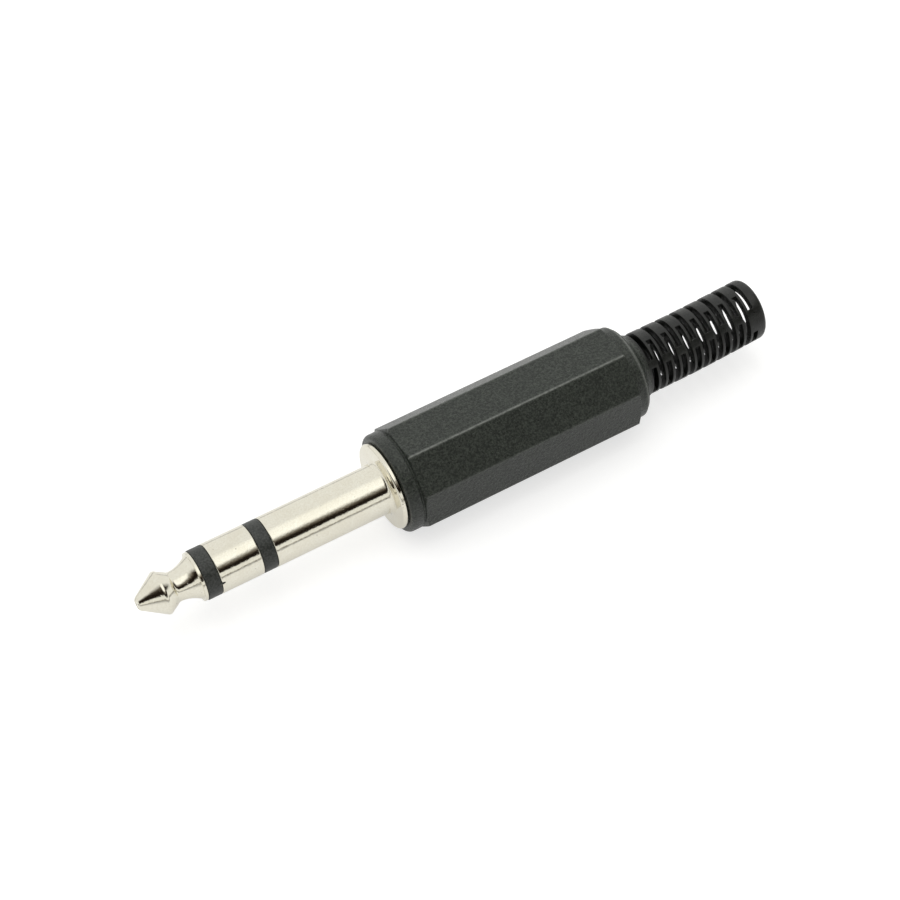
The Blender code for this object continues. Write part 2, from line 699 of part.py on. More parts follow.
def slot_sector(shape: bmesh.types.BMesh, station: float, first: float, last: float) -> None:
    """Add a block that opens a slot between two webs.

    Args:
        shape: The cutter that the block is added to.
        station: Station of the slot's middle.
        first: Angle where the block starts, from +Y up.
        last: Angle where it ends.
    """
    steps = math.ceil((last - first) / SECTOR_STEP)
    angles = [first + (last - first) * step / steps for step in range(steps + 1)]
    line = [(BOOT_FRONT_RADIUS + CUTTER_REACH, angle) for angle in angles]
    line += [(BOOT_BORE_RADIUS - CUTTER_REACH, angle) for angle in reversed(angles)]
    foot = station - SLOT_WIDTH / 2
    corners = [Vector((-r * math.sin(a), r * math.cos(a), foot)) for r, a in line]
    face = shape.faces.new([shape.verts.new(corner) for corner in corners])
    drawn = bmesh.ops.extrude_face_region(shape, geom=[face])["geom"]
    top = [item for item in drawn if isinstance(item, bmesh.types.BMVert)]
    bmesh.ops.translate(shape, vec=(0.0, 0.0, SLOT_WIDTH), verts=top)


def slot_cutters(cutters: bpy.types.Collection) -> bpy.types.Object:
    """Return one cutter that opens every slot between its webs."""
    shape = bmesh.new()
    for index, station in enumerate(slot_stations()):
        webs = ODD_SLOT_WEBS if index % 2 else EVEN_SLOT_WEBS
        for first, last in slot_openings(webs):
            slot_sector(shape, station, first, last)
    bmesh.ops.recalc_face_normals(shape, faces=shape.faces)
    mesh = bpy.data.meshes.new("boot_slots")
    shape.to_mesh(mesh)
    shape.free()
    made = add_object("boot_slots", mesh, cutters)
    made.matrix_world = axis_matrix()
    return made


def strain_relief(home: bpy.types.Collection, cutters: bpy.types.Collection) -> None:
    """Model the strain relief: a tube with a captive flange and crosswise pairs of slots."""
    rounded = PLUG_LENGTH - BOOT_END_ROUND
    outline = arc(rounded, BOOT_END_RADIUS - BOOT_END_ROUND, BOOT_END_ROUND, 0, 90)
    outline += [(COVER_END, BOOT_FRONT_RADIUS), (BOOT_NECK_START, BOOT_FRONT_RADIUS)]
    outline += [(BOOT_NECK_START, BOOT_FLANGE_RADIUS), (BOOT_START, BOOT_FLANGE_RADIUS)]
    outline += [(BOOT_START, BOOT_BORE_RADIUS), (PLUG_LENGTH, BOOT_BORE_RADIUS)]
    boot = turned("strain_relief", outline, home)
    boolean(boot, slot_cutters(cutters), "DIFFERENCE")
    finish(boot, BOOT_BLACK)


def build() -> None:
    """Model every piece of the plug."""
    clear_scene()
    home = collection("stereo_jack_plug")
    cutters = collection("cutters")
    tip_contact(home)
    tip_rod(home)
    insulators(home)
    ring_contact(home)
    ring_tube(home)
    sleeve_contact(home)
    washers(home)
    cable_clamp(home, cutters)
    terminals(home, cutters)
    cover(home, cutters)
    strain_relief(home, cutters)


build()
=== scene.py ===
"""Render scene of a 6.35 mm stereo jack plug lying on a white floor.

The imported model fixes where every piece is. This script replaces its solids with finely turned,
threaded, moulded and stamped pieces, gives each finish a procedural material, and adds the floor,
the light and the camera. Units are metres, and stations run along the plug from its nose.
"""

import logging
import math
from dataclasses import dataclass, field
from enum import Enum
from typing import Callable

import bmesh
import bpy
import numpy as np
from mathutils import Matrix, Vector


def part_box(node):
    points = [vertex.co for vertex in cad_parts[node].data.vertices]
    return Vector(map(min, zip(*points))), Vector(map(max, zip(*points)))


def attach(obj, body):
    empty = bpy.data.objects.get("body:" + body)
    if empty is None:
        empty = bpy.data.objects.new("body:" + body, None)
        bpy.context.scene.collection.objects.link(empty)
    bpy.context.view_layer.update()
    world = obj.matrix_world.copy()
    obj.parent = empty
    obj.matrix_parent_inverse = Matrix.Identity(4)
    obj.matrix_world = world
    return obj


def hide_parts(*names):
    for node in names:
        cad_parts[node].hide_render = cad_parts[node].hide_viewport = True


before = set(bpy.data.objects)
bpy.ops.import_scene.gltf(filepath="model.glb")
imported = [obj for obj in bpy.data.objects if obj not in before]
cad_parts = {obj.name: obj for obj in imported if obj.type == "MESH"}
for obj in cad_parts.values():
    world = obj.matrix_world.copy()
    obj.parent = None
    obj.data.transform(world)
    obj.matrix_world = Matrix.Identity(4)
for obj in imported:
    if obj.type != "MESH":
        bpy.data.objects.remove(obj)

MM = 0.001
MERGE_DISTANCE = 0.0002 * MM
SHARP_ANGLE = math.radians(40)
HALF_FACET = math.pi / 8
LOG = logging.getLogger("jack_plug")

Array = np.ndarray
Colour = tuple[float, float, float]
Mesh = bpy.types.Mesh
Points = list[tuple[float, float]]
Socket = bpy.types.NodeSocket
Value = Socket | Colour | float


class Body(Enum):
    """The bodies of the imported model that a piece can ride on."""

    PLUG = "plug"
    RELIEF = "relief"
    SHELL = "shell"


# Shader building


class Nodes:
    """A node tree that is built in code: a material's or the world's."""

    def __init__(self, tree: bpy.types.NodeTree) -> None:
        """Start on a tree."""
        self.tree = tree

    def fill(self, target: Socket, value: Value) -> None:
        """Link a socket to an input, or set the input to a number, a scale or a colour."""
        if isinstance(value, Socket):
            self.tree.links.new(value, target)
        elif target.type == "RGBA":
            target.default_value = (*value, 1.0)
        else:
            target.default_value = value

    def add(
        self,
        kind: str,
        output: str | int,
        inputs: dict[str | int, Value] | None = None,
        **settings: str,
    ) -> Socket:
        """Add a node.

        Args:
            kind: The node's type.
            output: The output that is wanted.
            inputs: What its inputs are linked or set to.
            settings: The node's own settings.

        Returns:
            The output's socket.
        """
        node = self.tree.nodes.new(kind)
        for name, value in settings.items():
            setattr(node, name, value)
        for name, value in (inputs or {}).items():
            self.fill(node.inputs[name], value)
        return node.outputs[output]

    def remap(
        self, source: Socket, start: float, end: float, low: float = 0.0, high: float = 1.0
    ) -> Socket:
        """Return a value moved from start and end to low and high, and held between them."""
        inputs = {"Value": source, "From Min": start, "From Max": end, "To Min": low, "To Max": high}
        return self.add("ShaderNodeMapRange", "Result", inputs)

    def spread(self, noise: Socket, low: float, high: float) -> Socket:
        """Return a noise, whose values mostly lie from 0.3 to 0.7, spread over a range."""
        return self.remap(noise, 0.3, 0.7, low, high)

    def combine(self, kind: str, first: Socket, second: Socket | float) -> Socket:
        """Return two values combined by a Math node's operation."""
        return self.add("ShaderNodeMath", "Value", {0: first, 1: second}, operation=kind)

    def product(self, first: Socket, second: Socket | float) -> Socket:
        """Return two values multiplied."""
        return self.combine("MULTIPLY", first, second)

    def blend(self, share: Socket, first: Value, second: Value) -> Socket:
        """Return a colour between two others, by the share of the second."""
        inputs = {"Factor": share, 6: first, 7: second}
        return self.add("ShaderNodeMix", 2, inputs, data_type="RGBA")

    def seen(self) -> Socket:
        """Return 1 for what the camera sees, directly or through a clear surface, and else 0."""
        path = self.add("ShaderNodeLightPath", "Is Camera Ray")
        return self.combine("MAXIMUM", path, path.node.outputs["Is Transmission Ray"])


class Shader(Nodes):
    """The nodes of one procedural material, built from its Principled BSDF outwards."""

    def __init__(self, name: str) -> None:
        """Start a material with a Principled BSDF and the piece's own coordinates."""
        self.material = bpy.data.materials.new(name)
        self.material.use_nodes = True
        super().__init__(self.material.node_tree)
        self.surface = self.tree.nodes["Principled BSDF"]
        self.place = self.add("ShaderNodeTexCoord", "Object")

    def drive(self, name: str, value: Value) -> None:
        """Link or set an input of the Principled BSDF."""
        self.fill(self.surface.inputs[name], value)

    def stretched(self, along: float, across: float) -> Socket:
        """Return the piece's coordinates scaled along and across the plug's axis."""
        inputs = {"Scale": (along, across, across), "Vector": self.place}
        return self.add("ShaderNodeMapping", "Vector", inputs)

    def noise(
        self, scale: float, detail: float = 2.0, roughness: float = 0.5, place: Socket | None = None
    ) -> Socket:
        """Return a noise value from 0 to 1, with scale features to the metre."""
        inputs = {"Scale": scale, "Detail": detail, "Roughness": roughness}
        inputs["Vector"] = place or self.place
        return self.add("ShaderNodeTexNoise", "Fac", inputs)

    def cells(self, scale: float) -> Socket:
        """Return the distance to the nearest of scattered points, which lie scale to the metre."""
        return self.add("ShaderNodeTexVoronoi", "Distance", {"Scale": scale, "Vector": self.place})

    def bump(
        self, height: Socket, distance: float, strength: float = 1.0, under: Socket | None = None
    ) -> Socket:
        """Return a normal bent by a height of so many metres, over a coarser bump if one is given."""
        inputs = {"Distance": distance, "Strength": strength, "Height": height}
        if under is not None:
            inputs["Normal"] = under
        return self.add("ShaderNodeBump", "Normal", inputs)

    def wear_and_highlight(self) -> Socket:
        """Return how exposed the surface is, from 0 on open faces to 1 on outer edges; on the cover it
        marks edges that get painted highlight as well as wear.
        """
        return self.add("ShaderNodeAttribute", "Fac", attribute_name="wear_and_highlight")


# Finishes


@dataclass(frozen=True)
class NickelPlate:
    """Bright nickel over turned brass, with turning lines, pits and worn edges."""

    name: str
    slot: str = "nickel"
    colour: Colour = (0.87, 0.845, 0.74)
    stain: Colour = (0.78, 0.735, 0.61)
    pit: Colour = (0.30, 0.26, 0.20)
    shine: float = 0.05
    haze: float = 0.06
    turning: float = 0.05
    peel: float = 0.012 * MM

    def material(self) -> bpy.types.Material:
        """Build the material."""
        shader = Shader(self.name)
        shader.drive("Metallic", 1.0)
        rings = shader.noise(1.0, 4.0, 0.7, shader.stretched(16000, 250))
        cloud = shader.noise(420, 4.0, 0.6)
        colour = shader.blend(shader.remap(cloud, 0.42, 0.78, 0.0, 0.55), self.colour, self.stain)
        flecks = shader.remap(shader.noise(5000, 2.0, 0.7), 0.40, 0.62, 0.0, 0.55)
        colour = shader.blend(flecks, colour, self.stain)
        pits = shader.remap(shader.cells(1500), 0.05, 0.13, 1.0, 0.0)
        rare = shader.remap(shader.noise(700, 1.0), 0.58, 0.66)
        spots = shader.product(pits, rare)
        colour = shader.blend(spots, colour, self.pit)
        shader.drive("Base Color", colour)
        rough = shader.spread(rings, self.shine, self.shine + self.haze)
        rough = shader.combine("ADD", rough, shader.product(shader.wear_and_highlight(), 0.06))
        shader.drive("Roughness", shader.combine("ADD", rough, shader.product(spots, 0.3)))
        lines = shader.bump(rings, 0.002 * MM, self.turning)
        waves = shader.bump(shader.noise(900, 2.0), 0.006 * MM, 0.5, lines)
        peel = shader.bump(shader.noise(2800, 3.0, 0.6), self.peel, 1.0, waves)
        shader.drive("Normal", shader.bump(spots, -0.01 * MM, 1.0, peel))
        return shader.material


@dataclass(frozen=True)
class TinPlate:
    """Dull tin over stamped brass, with rolling lines and smears."""

    name: str
    slot: str = "tinned"
    colour: Colour = (0.70, 0.69, 0.65)
    smear: Colour = (0.52, 0.50, 0.45)

    def material(self) -> bpy.types.Material:
        """Build the material."""
        shader = Shader(self.name)
        shader.drive("Metallic", 1.0)
        cloud = shader.noise(900, 5.0, 0.6)
        rolled = shader.noise(1.0, 3.0, 0.6, shader.stretched(300, 9000))
        smeared = shader.remap(cloud, 0.4, 0.7)
        shader.drive("Base Color", shader.blend(smeared, self.colour, self.smear))
        shader.drive("Roughness", shader.spread(cloud, 0.22, 0.48))
        lines = shader.bump(rolled, 0.006 * MM, 0.5)
        shader.drive("Normal", shader.bump(cloud, 0.02 * MM, 0.6, lines))
        return shader.material


@dataclass(frozen=True)
class CoverPlastic:
    """Grey-black moulded plastic with a fine spark grain and scuffed edges, whose paler edge colour is
    partly painted highlight.
    """

    name: str
    slot: str = "cover"
    colour: Colour = (0.005, 0.008, 0.005)
    pale: Colour = (0.040, 0.048, 0.038)
    dust_scuff_and_highlight: Colour = (0.20, 0.21, 0.195)
    grain: float = 4600.0
    depth: float = 0.12 * MM

    def material(self) -> bpy.types.Material:
        """Build the material."""
        shader = Shader(self.name)
        cloud = shader.noise(260, 4.0, 0.6)
        spark = shader.noise(0.6 * self.grain, 3.0, 0.6)
        fine = shader.remap(shader.noise(self.grain, 1.5, 0.7), 0.40, 0.64)
        mixed = shader.product(fine, shader.spread(cloud, 0.8, 1.2))
        colour = shader.blend(mixed, self.colour, self.pale)
        dust = shader.remap(shader.cells(2600), 0.06, 0.16, 1.0, 0.0)
        some = shader.remap(shader.noise(1900, 1.0), 0.60, 0.70, 0.0, 0.55)
        colour = shader.blend(shader.product(dust, some), colour, self.dust_scuff_and_highlight)
        # Paler scuff colour on the marked edges and rim: partly real wear, partly painted highlight.
        ragged = shader.remap(shader.noise(2400, 3.0, 0.7), 0.34, 0.56, 0.45, 1.0)
        rubbed_and_highlight = shader.product(shader.wear_and_highlight(), ragged)
        shader.drive("Base Color", shader.blend(rubbed_and_highlight, colour, self.dust_scuff_and_highlight))
        shader.drive("Roughness", shader.spread(spark, 0.25, 0.41))
        coarse = shader.bump(shader.noise(1100, 2.0), 0.02 * MM, 0.4)
        shader.drive("Normal", shader.bump(spark, self.depth, 1.0, coarse))
        return shader.material


@dataclass(frozen=True)
class BootPlastic:
    """Soft, slightly glossy black plastic with flow marks."""

    name: str
    slot: str = "relief"
    colour: Colour = (0.004, 0.005, 0.004)
    bloom: Colour = (0.018, 0.020, 0.017)

    def material(self) -> bpy.types.Material:
        """Build the material."""
        shader = Shader(self.name)
        cloud = shader.noise(700, 4.0, 0.6)
        bloom = shader.combine("ADD", shader.remap(cloud, 0.45, 0.75, 0.0, 0.6), shader.wear_and_highlight())
        shader.drive("Base Color", shader.blend(bloom, self.colour, self.bloom))
        shader.drive("Roughness", shader.spread(shader.noise(2500, 3.0), 0.26, 0.44))
        flow = shader.bump(shader.noise(1400, 3.0, 0.6), 0.05 * MM, 0.8)
        shader.drive("Normal", shader.bump(shader.noise(4600, 3.0), 0.03 * MM, 0.8, flow))
        return shader.material


@dataclass(frozen=True)
class BandPlastic:
    """Satin black plastic of the insulating bands, faintly mottled."""

    name: str
    slot: str = "insulation"
    colour: Colour = (0.014, 0.016, 0.014)
    mottle: Colour = (0.056, 0.060, 0.055)

    def material(self) -> bpy.types.Material:
        """Build the material."""
        shader = Shader(self.name)
        cloud = shader.noise(4600, 2.0, 0.6)
        mottled = shader.remap(cloud, 0.38, 0.66)
        shader.drive("Base Color", shader.blend(mottled, self.colour, self.mottle))
        shader.drive("Roughness", shader.spread(cloud, 0.34, 0.52))
        turned = shader.noise(1.0, 3.0, 0.6, shader.stretched(14000, 500))
        lines = shader.bump(turned, 0.006 * MM, 0.5)
        shader.drive("Normal", shader.bump(cloud, 0.008 * MM, 0.6, lines))
        return shader.material


@dataclass(frozen=True)
class FibreBoard:
    """Brown pressed fibre of the washers."""

    name: str
    slot: str = "washer"
    colour: Colour = (0.34, 0.17, 0.08)
    fibre: Colour = (0.20, 0.09, 0.04)

    def material(self) -> bpy.types.Material:
        """Build the material."""
        shader = Shader(self.name)
        fibres = shader.noise(1.0, 5.0, 0.7, shader.stretched(6000, 1600))
        strands = shader.remap(fibres, 0.35, 0.65)
        shader.drive("Base Color", shader.blend(strands, self.colour, self.fibre))
        shader.drive("Roughness", shader.spread(fibres, 0.55, 0.8))
        shader.drive("Normal", shader.bump(fibres, 0.03 * MM, 0.7))
        return shader.material


Finish = NickelPlate | TinPlate | CoverPlastic | BootPlastic | BandPlastic | FibreBoard


# Mesh building


@dataclass(frozen=True)
class Axis:
    """The plug's axis, which every turned piece is built about."""

    nose: float
    height: float

    @classmethod
    def of_frame(cls) -> "Axis":
        """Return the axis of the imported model."""
        low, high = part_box("tip_contact")
        return cls(nose=low.x, height=(low.z + high.z) / 2)

    def points(self, station: Array, radius: Array, angle: Array) -> Array:
        """Return world points of cylindrical ones, whose angles count from +Y towards +Z."""
        across = radius * np.cos(angle)
        up = self.height + radius * np.sin(angle)
        return np.stack(np.broadcast_arrays(self.nose + station, across, up), axis=-1)


@dataclass
class Outline:
    """A turned piece's section: corners of station, radius and corner round."""

    corners: list[tuple[float, float, float]] = field(default_factory=list)
    steps: int = 6

    def to(self, station: float, radius: float, rounding: float = 0.0) -> "Outline":
        """Add a corner and return the outline."""
        self.corners.append((station, radius, rounding))
        return self

    def through(self, points: Points) -> "Outline":
        """Add points of a curve and return the outline."""
        for station, radius in points:
            self.to(station, radius)
        return self

    def loop(self, closed: bool = True) -> tuple[Array, Array]:
        """Return the outline's points, with its corners rounded, and how exposed each is.

        Args:
            closed: False for an outline whose two ends lie on the axis.

        Returns:
            An array of station and radius, and an array of values from 0 to 1.
        """
        points: list[Array] = []
        worn: list[float] = []
        count = len(self.corners)
        for index, (station, radius, rounding) in enumerate(self.corners):
            here = np.array((station, radius))
            if rounding <= 0 or (not closed and index in (0, count - 1)):
                points.append(here)
                worn.append(0.0)
                continue
            before = np.array(self.corners[index - 1][:2]) - here
            after = np.array(self.corners[(index + 1) % count][:2]) - here
            reach = min(np.linalg.norm(before), np.linalg.norm(after)) * 0.48
            before = before / np.linalg.norm(before)
            after = after / np.linalg.norm(after)
            half = math.acos(max(-1.0, min(1.0, float(before @ after)))) / 2
            tangent = min(rounding / math.tan(half), reach)
            size = tangent * math.tan(half)
            inwards = (before + after) / np.linalg.norm(before + after)
            middle = here + inwards * tangent / math.cos(half)
            first = here + before * tangent - middle
            last = here + after * tangent - middle
            turn = math.atan2(first[0] * last[1] - first[1] * last[0], float(first @ last))
            start = math.atan2(first[1], first[0])
            for step in range(self.steps + 1):
                angle = start + turn * step / self.steps
                points.append(middle + size * np.array((math.cos(angle), math.sin(angle))))
                worn.append(math.sin(math.pi * step / self.steps))
        return np.array(points), np.array(worn)


@dataclass
class Grid:
    """A mesh of rows that go round the axis."""

    points: Array
    wear_and_highlight: Array
    faces: list[tuple[int, ...]]


def quads(rows: int, columns: int, closed: bool = True, joined_up: bool = True) -> list[tuple[int, ...]]:
    """Return the faces between rows of points, row by row.

    Args:
        rows: Number of rows.
        columns: Number of points in a row.
        closed: True where the last row meets the first.
        joined_up: True where a row's last point meets its first.

    Returns:
        Four point numbers for each face.
    """
    made = []
    for row in range(rows if closed else rows - 1):
        below, above = row * columns, (row + 1) % rows * columns
        for column in range(columns if joined_up else columns - 1):
            beside = (column + 1) % columns
            made.append((below + column, below + beside, above + beside, above + column))
    return made


def eased(share: Array | float) -> Array | float:
    """Return a share from 0 to 1 with a soft start and end."""
    return share * share * (3 - 2 * share)


def placed(name: str, data: bpy.types.ID) -> bpy.types.Object:
    """Return a new object of the scene that holds the data."""
    made = bpy.data.objects.new(name, data)
    bpy.context.scene.collection.objects.link(made)
    return made


def finished_mesh(name: str, grid: Grid) -> Mesh:
    """Return a mesh of a grid, merged, with its faces turned outwards and its exposure stored as
    wear_and_highlight.
    """
    mesh = bpy.data.meshes.new(name)
    mesh.from_pydata(grid.points.tolist(), [], grid.faces)
    attribute = mesh.attributes.new("wear_and_highlight", "FLOAT", "POINT")
    attribute.data.foreach_set("value", grid.wear_and_highlight.astype(np.float32))
    shape = bmesh.new()
    shape.from_mesh(mesh)
    bmesh.ops.remove_doubles(shape, verts=shape.verts, dist=MERGE_DISTANCE)
    bmesh.ops.recalc_face_normals(shape, faces=shape.faces)
    shape.to_mesh(mesh)
    shape.free()
    mesh.shade_smooth()
    mesh.set_sharp_from_angle(angle=SHARP_ANGLE)
    return mesh


@dataclass
class Workshop:
    """Makes the pieces of the plug about its axis."""

    axis: Axis
    columns: int = 160

    def turned(
        self,
        name: str,
        outline: Outline,
        closed: bool = True,
        shape: Callable[[Array, Array, Array], Array] | None = None,
        angles: Array | None = None,
    ) -> Mesh:
        """Return a mesh turned about the axis.

        Args:
            name: Name of the mesh.
            outline: The section.
            closed: False where the section's ends lie on the axis.
            shape: Gives the radius from station, radius and angle, for what isn't round.
            angles: Angles of the columns, or none for even ones.

        Returns:
            The mesh.
        """
        loop, worn = outline.loop(closed)
        if angles is None:
            angles = np.linspace(0, 2 * math.pi, self.columns, endpoint=False)
        station = loop[:, 0:1]
        radius = loop[:, 1:2] + 0 * angles[None, :]
        if shape is not None:
            radius = shape(station, radius, angles[None, :])
        points = self.axis.points(station, radius, angles[None, :])
        wear_and_highlight = (worn[:, None] + 0 * angles[None, :]).reshape(-1)
        faces = quads(len(worn), len(angles), closed)
        return finished_mesh(name, Grid(points.reshape(-1, 3), wear_and_highlight, faces))

    def piece(
        self, name: str, mesh: Mesh, finish: Finish, body: Body, *nodes: str
    ) -> None:
        """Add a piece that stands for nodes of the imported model.

        Args:
            name: Name of the piece.
            mesh: Its mesh in world coordinates.
            finish: Its finish.
            body: The body that it rides on.
            nodes: The nodes that it replaces.
        """
        made = placed(name, mesh)
        mesh.materials.append(finish.material())
        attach(made, body.value)
        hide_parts(*nodes)
        LOG.info("%s: %d faces, on %s", name, len(mesh.polygons), body.value)

    def applied(self, mesh: Mesh, *modifiers: tuple[str, dict]) -> Mesh:
        """Return a mesh with modifiers applied.

        Args:
            mesh: The mesh.
            modifiers: Pairs of a modifier's type and its settings.

        Returns:
            The new mesh.
        """
        carrier = placed(mesh.name + "_carrier", mesh)
        for kind, settings in modifiers:
            modifier = carrier.modifiers.new(kind.title(), kind)
            for name, value in settings.items():
                setattr(modifier, name, value)
        graph = bpy.context.evaluated_depsgraph_get()
        made = bpy.data.meshes.new_from_object(carrier.evaluated_get(graph))
        made.name = mesh.name
        bpy.data.objects.remove(carrier, do_unlink=True)
        made.shade_smooth()
        return made


@dataclass(frozen=True)
class Thread:
    """A right-handed screw thread about the plug's axis.

    The lead is a share of the pitch. It is a half for the inner thread, so that its ridges lie in the
    grooves of the outer one. The flat is the share of half a pitch that the root and the crest each
    take up, and the softness is how round the flanks are.
    """

    start: float
    end: float
    root: float
    crest: float
    pitch: float = 1.0 * MM
    fade: float = 0.7 * MM
    lead: float = 0.0
    flat: float = 0.14
    softness: float = 0.35
    rows_per_turn: int = 14

    def stations(self) -> Array:
        """Return the stations of the rows that carry the thread."""
        count = int(round((self.end - self.start) / self.pitch * self.rows_per_turn)) + 1
        return np.linspace(self.start, self.end, count)

    def radius(self, station: Array, angle: Array, rest: float) -> Array:
        """Return the thread's radius.

        Args:
            station: Distances from the nose.
            angle: Angles about the axis.
            rest: Radius that the thread fades to at its two ends.

        Returns:
            The radii.
        """
        phase = np.mod(station / self.pitch - angle / (2 * math.pi) + self.lead, 1.0)
        rise = np.clip((np.abs(2 * phase - 1) - self.flat) / (1 - 2 * self.flat), 0.0, 1.0)
        flank = self.softness * eased(rise) + (1 - self.softness) * rise
        full = self.root + (self.crest - self.root) * flank
        near = np.minimum(station - self.start, self.end - station) / self.fade
        share = np.clip(near, 0.0, 1.0)
        return rest + (full - rest) * share


# Plug


@dataclass
class Contacts:
    """The turned contacts and the insulating bands of the shaft."""

    shop: Workshop
    shaft: float = 3.175 * MM
    tip: float = 7.7 * MM
    band: float = 1.83 * MM
    ring: float = 5.42 * MM
    insertion: float = 32.2 * MM
    edge: float = 0.14 * MM
    clearance: float = 0.05 * MM
    band_sink: float = 0.03 * MM
    band_edge: float = 0.07 * MM
    fine_edge: float = 0.05 * MM
    soft_edge: float = 0.12 * MM
    flash_turn: float = math.radians(168)
    flash_size: tuple[float, float, float] = (0.52 * MM, 0.16 * MM, 0.14 * MM)

    nose: float = 0.70 * MM
    nose_bevel: float = 0.17 * MM
    head: float = 2.79 * MM
    head_start: float = 3.1 * MM
    head_round: float = 0.42 * MM
    head_slope: float = 42.0
    waist: float = 1.88 * MM
    waist_start: float = 4.85 * MM
    waist_round: float = 0.75 * MM
    mouth: float = 2.78 * MM
    flare_power: float = 1.9
    land: float = 3.075 * MM
    land_width: float = 0.38 * MM
    curve_steps: int = 24
    round_steps: int = 8

    rod: float = 1.0 * MM
    rod_bore: float = 1.05 * MM
    rod_end: float = 47.15 * MM
    rod_head: float = 1.75 * MM
    rod_head_start: float = 46.35 * MM
    rod_dome: float = 1.2 * MM
    rod_dome_drop: float = 0.25 * MM
    rod_dome_round: float = 0.3 * MM
    rod_sink: float = 0.03 * MM
    rod_nose: float = 0.5 * MM
    rod_nose_bore: float = 0.55 * MM
    rod_nose_end: float = 1.3 * MM
    tube: float = 1.85 * MM
    tube_bore: float = 1.9 * MM
    tube_inside: float = 1.55 * MM
    tube_start: float = 9.58 * MM
    tube_end: float = 44.9 * MM
    tube_flare: float = 2.4 * MM
    tube_flare_length: float = 0.3 * MM

    flange: float = 5.5 * MM
    flange_thickness: float = 0.6 * MM
    flange_round: float = 0.34 * MM
    root_fillet: float = 0.6 * MM
    barrel: float = 4.75 * MM
    barrel_length: float = 9.5 * MM
    undercut: float = 4.3 * MM
    undercut_width: float = 0.25 * MM
    chamfer: float = 4.35 * MM
    chamfer_slope: float = 0.9
    thread_depth: float = 0.5 * MM
    sleeve_bore: float = 2.4 * MM
    bore_bevel: float = 0.2 * MM

    def waist_curve(self) -> Points:
        """Return the curve of the tip from its land forwards to the waist and the head."""
        reach = self.tip - self.land_width - self.waist_start
        points = []
        for step in range(self.curve_steps):
            share = 1 - step / self.curve_steps
            rise = (self.mouth - self.waist) * share**self.flare_power
            points.append((self.waist_start + reach * share, self.waist + rise))
        for step in range(self.round_steps + 1):
            angle = math.radians(270 - self.head_slope * step / self.round_steps)
            station = self.waist_start + self.waist_round * math.cos(angle)
            points.append((station, self.waist + self.waist_round * (1 + math.sin(angle))))
        return points

    def tip_piece(self) -> None:
        """Build the tip contact."""
        outline = Outline().to(self.tip, self.land, 0.06 * MM)
        outline.to(self.tip - self.land_width, self.land, self.fine_edge)
        outline.through(self.waist_curve())
        outline.to(self.head_start, self.head, self.head_round)
        outline.to(self.nose_bevel, self.nose + self.nose_bevel, self.soft_edge)
        outline.to(0.0, self.nose, self.fine_edge).to(0.0, self.rod_nose_bore, 0.02 * MM)
        outline.to(self.rod_nose_end, self.rod_nose_bore).to(self.rod_nose_end, self.rod_bore)
        outline.to(self.tip, self.rod_bore)
        mesh = self.shop.turned("tip", outline)
        self.shop.piece("tip", mesh, NickelPlate("tip nickel"), Body.PLUG, "tip_contact")

    def rod_piece(self) -> None:
        """Build the rod with its riveted nose and its head behind the tip terminal."""
        step = self.rod_nose_end + self.clearance
        outline = Outline().to(self.rod_end, 0.0).to(self.rod_end, self.rod_dome, self.rod_dome_round)
        outline.to(self.rod_end - self.rod_dome_drop, self.rod_head, self.rod_dome_round)
        outline.to(self.rod_head_start, self.rod_head, self.fine_edge)
        outline.to(self.rod_head_start, self.rod).to(step, self.rod).to(step, self.rod_nose)
        outline.to(self.rod_sink, self.rod_nose, self.soft_edge).to(self.rod_sink, 0.0)
        mesh = self.shop.turned("rod", outline, closed=False)
        self.shop.piece("rod", mesh, NickelPlate("rod nickel", haze=0.2), Body.PLUG, "tip_rod")

    def band_piece(self, name: str, start: float, bore: float, tube: float, tube_end: float) -> None:
        """Build an insulating band with the tube behind it.

        Args:
            name: Name of the piece, whose node has the same name.
            start: Station where the contact in front ends.
            bore: Radius of the hole.
            tube: Radius of the tube.
            tube_end: Station where the tube ends.
        """
        rim = self.shaft - self.band_sink
        front = start + self.clearance
        rear = start + self.band - self.clearance
        outline = Outline().to(tube_end, tube, self.fine_edge).to(rear, tube)
        outline.to(rear, rim, self.band_edge).to(front, rim, self.band_edge)
        outline.to(front, bore).to(tube_end, bore, self.fine_edge)
        mesh = self.shop.turned(name, outline)
        if start == self.tip:
            mesh = joined(name, [mesh, self.flash(rear, rim)])
        finish = BandPlastic(name + " black")
        self.shop.piece(name.split("_")[0] + "_band", mesh, finish, Body.PLUG, name)

    def flash(self, station: float, radius: float) -> Mesh:
        """Return the small tongue of plastic that the mould left at a band's rear edge.

        Args:
            station: Station of the band's rear edge.
            radius: The band's radius.

        Returns:
            The tongue's mesh.
        """
        along, across, up = self.flash_size
        shape = bmesh.new()
        bmesh.ops.create_icosphere(shape, subdivisions=3, radius=1.0)
        for corner in shape.verts:
            x, y, z = corner.co
            place = (station + x * along, radius + z * up, self.flash_turn + y * across / radius)
            corner.co = self.shop.axis.points(*map(np.array, place)).tolist()
        mesh = bpy.data.meshes.new("flash")
        shape.to_mesh(mesh)
        shape.free()
        return mesh

    def ring_piece(self) -> None:
        """Build the ring contact."""
        start = self.tip + self.band
        end = start + self.ring
        outline = Outline().to(end, self.shaft, self.edge).to(start, self.shaft, self.edge)
        outline.to(start, self.tube_bore).to(end, self.tube_bore)
        mesh = self.shop.turned("ring", outline)
        self.shop.piece("ring", mesh, NickelPlate("ring nickel"), Body.PLUG, "ring_contact")

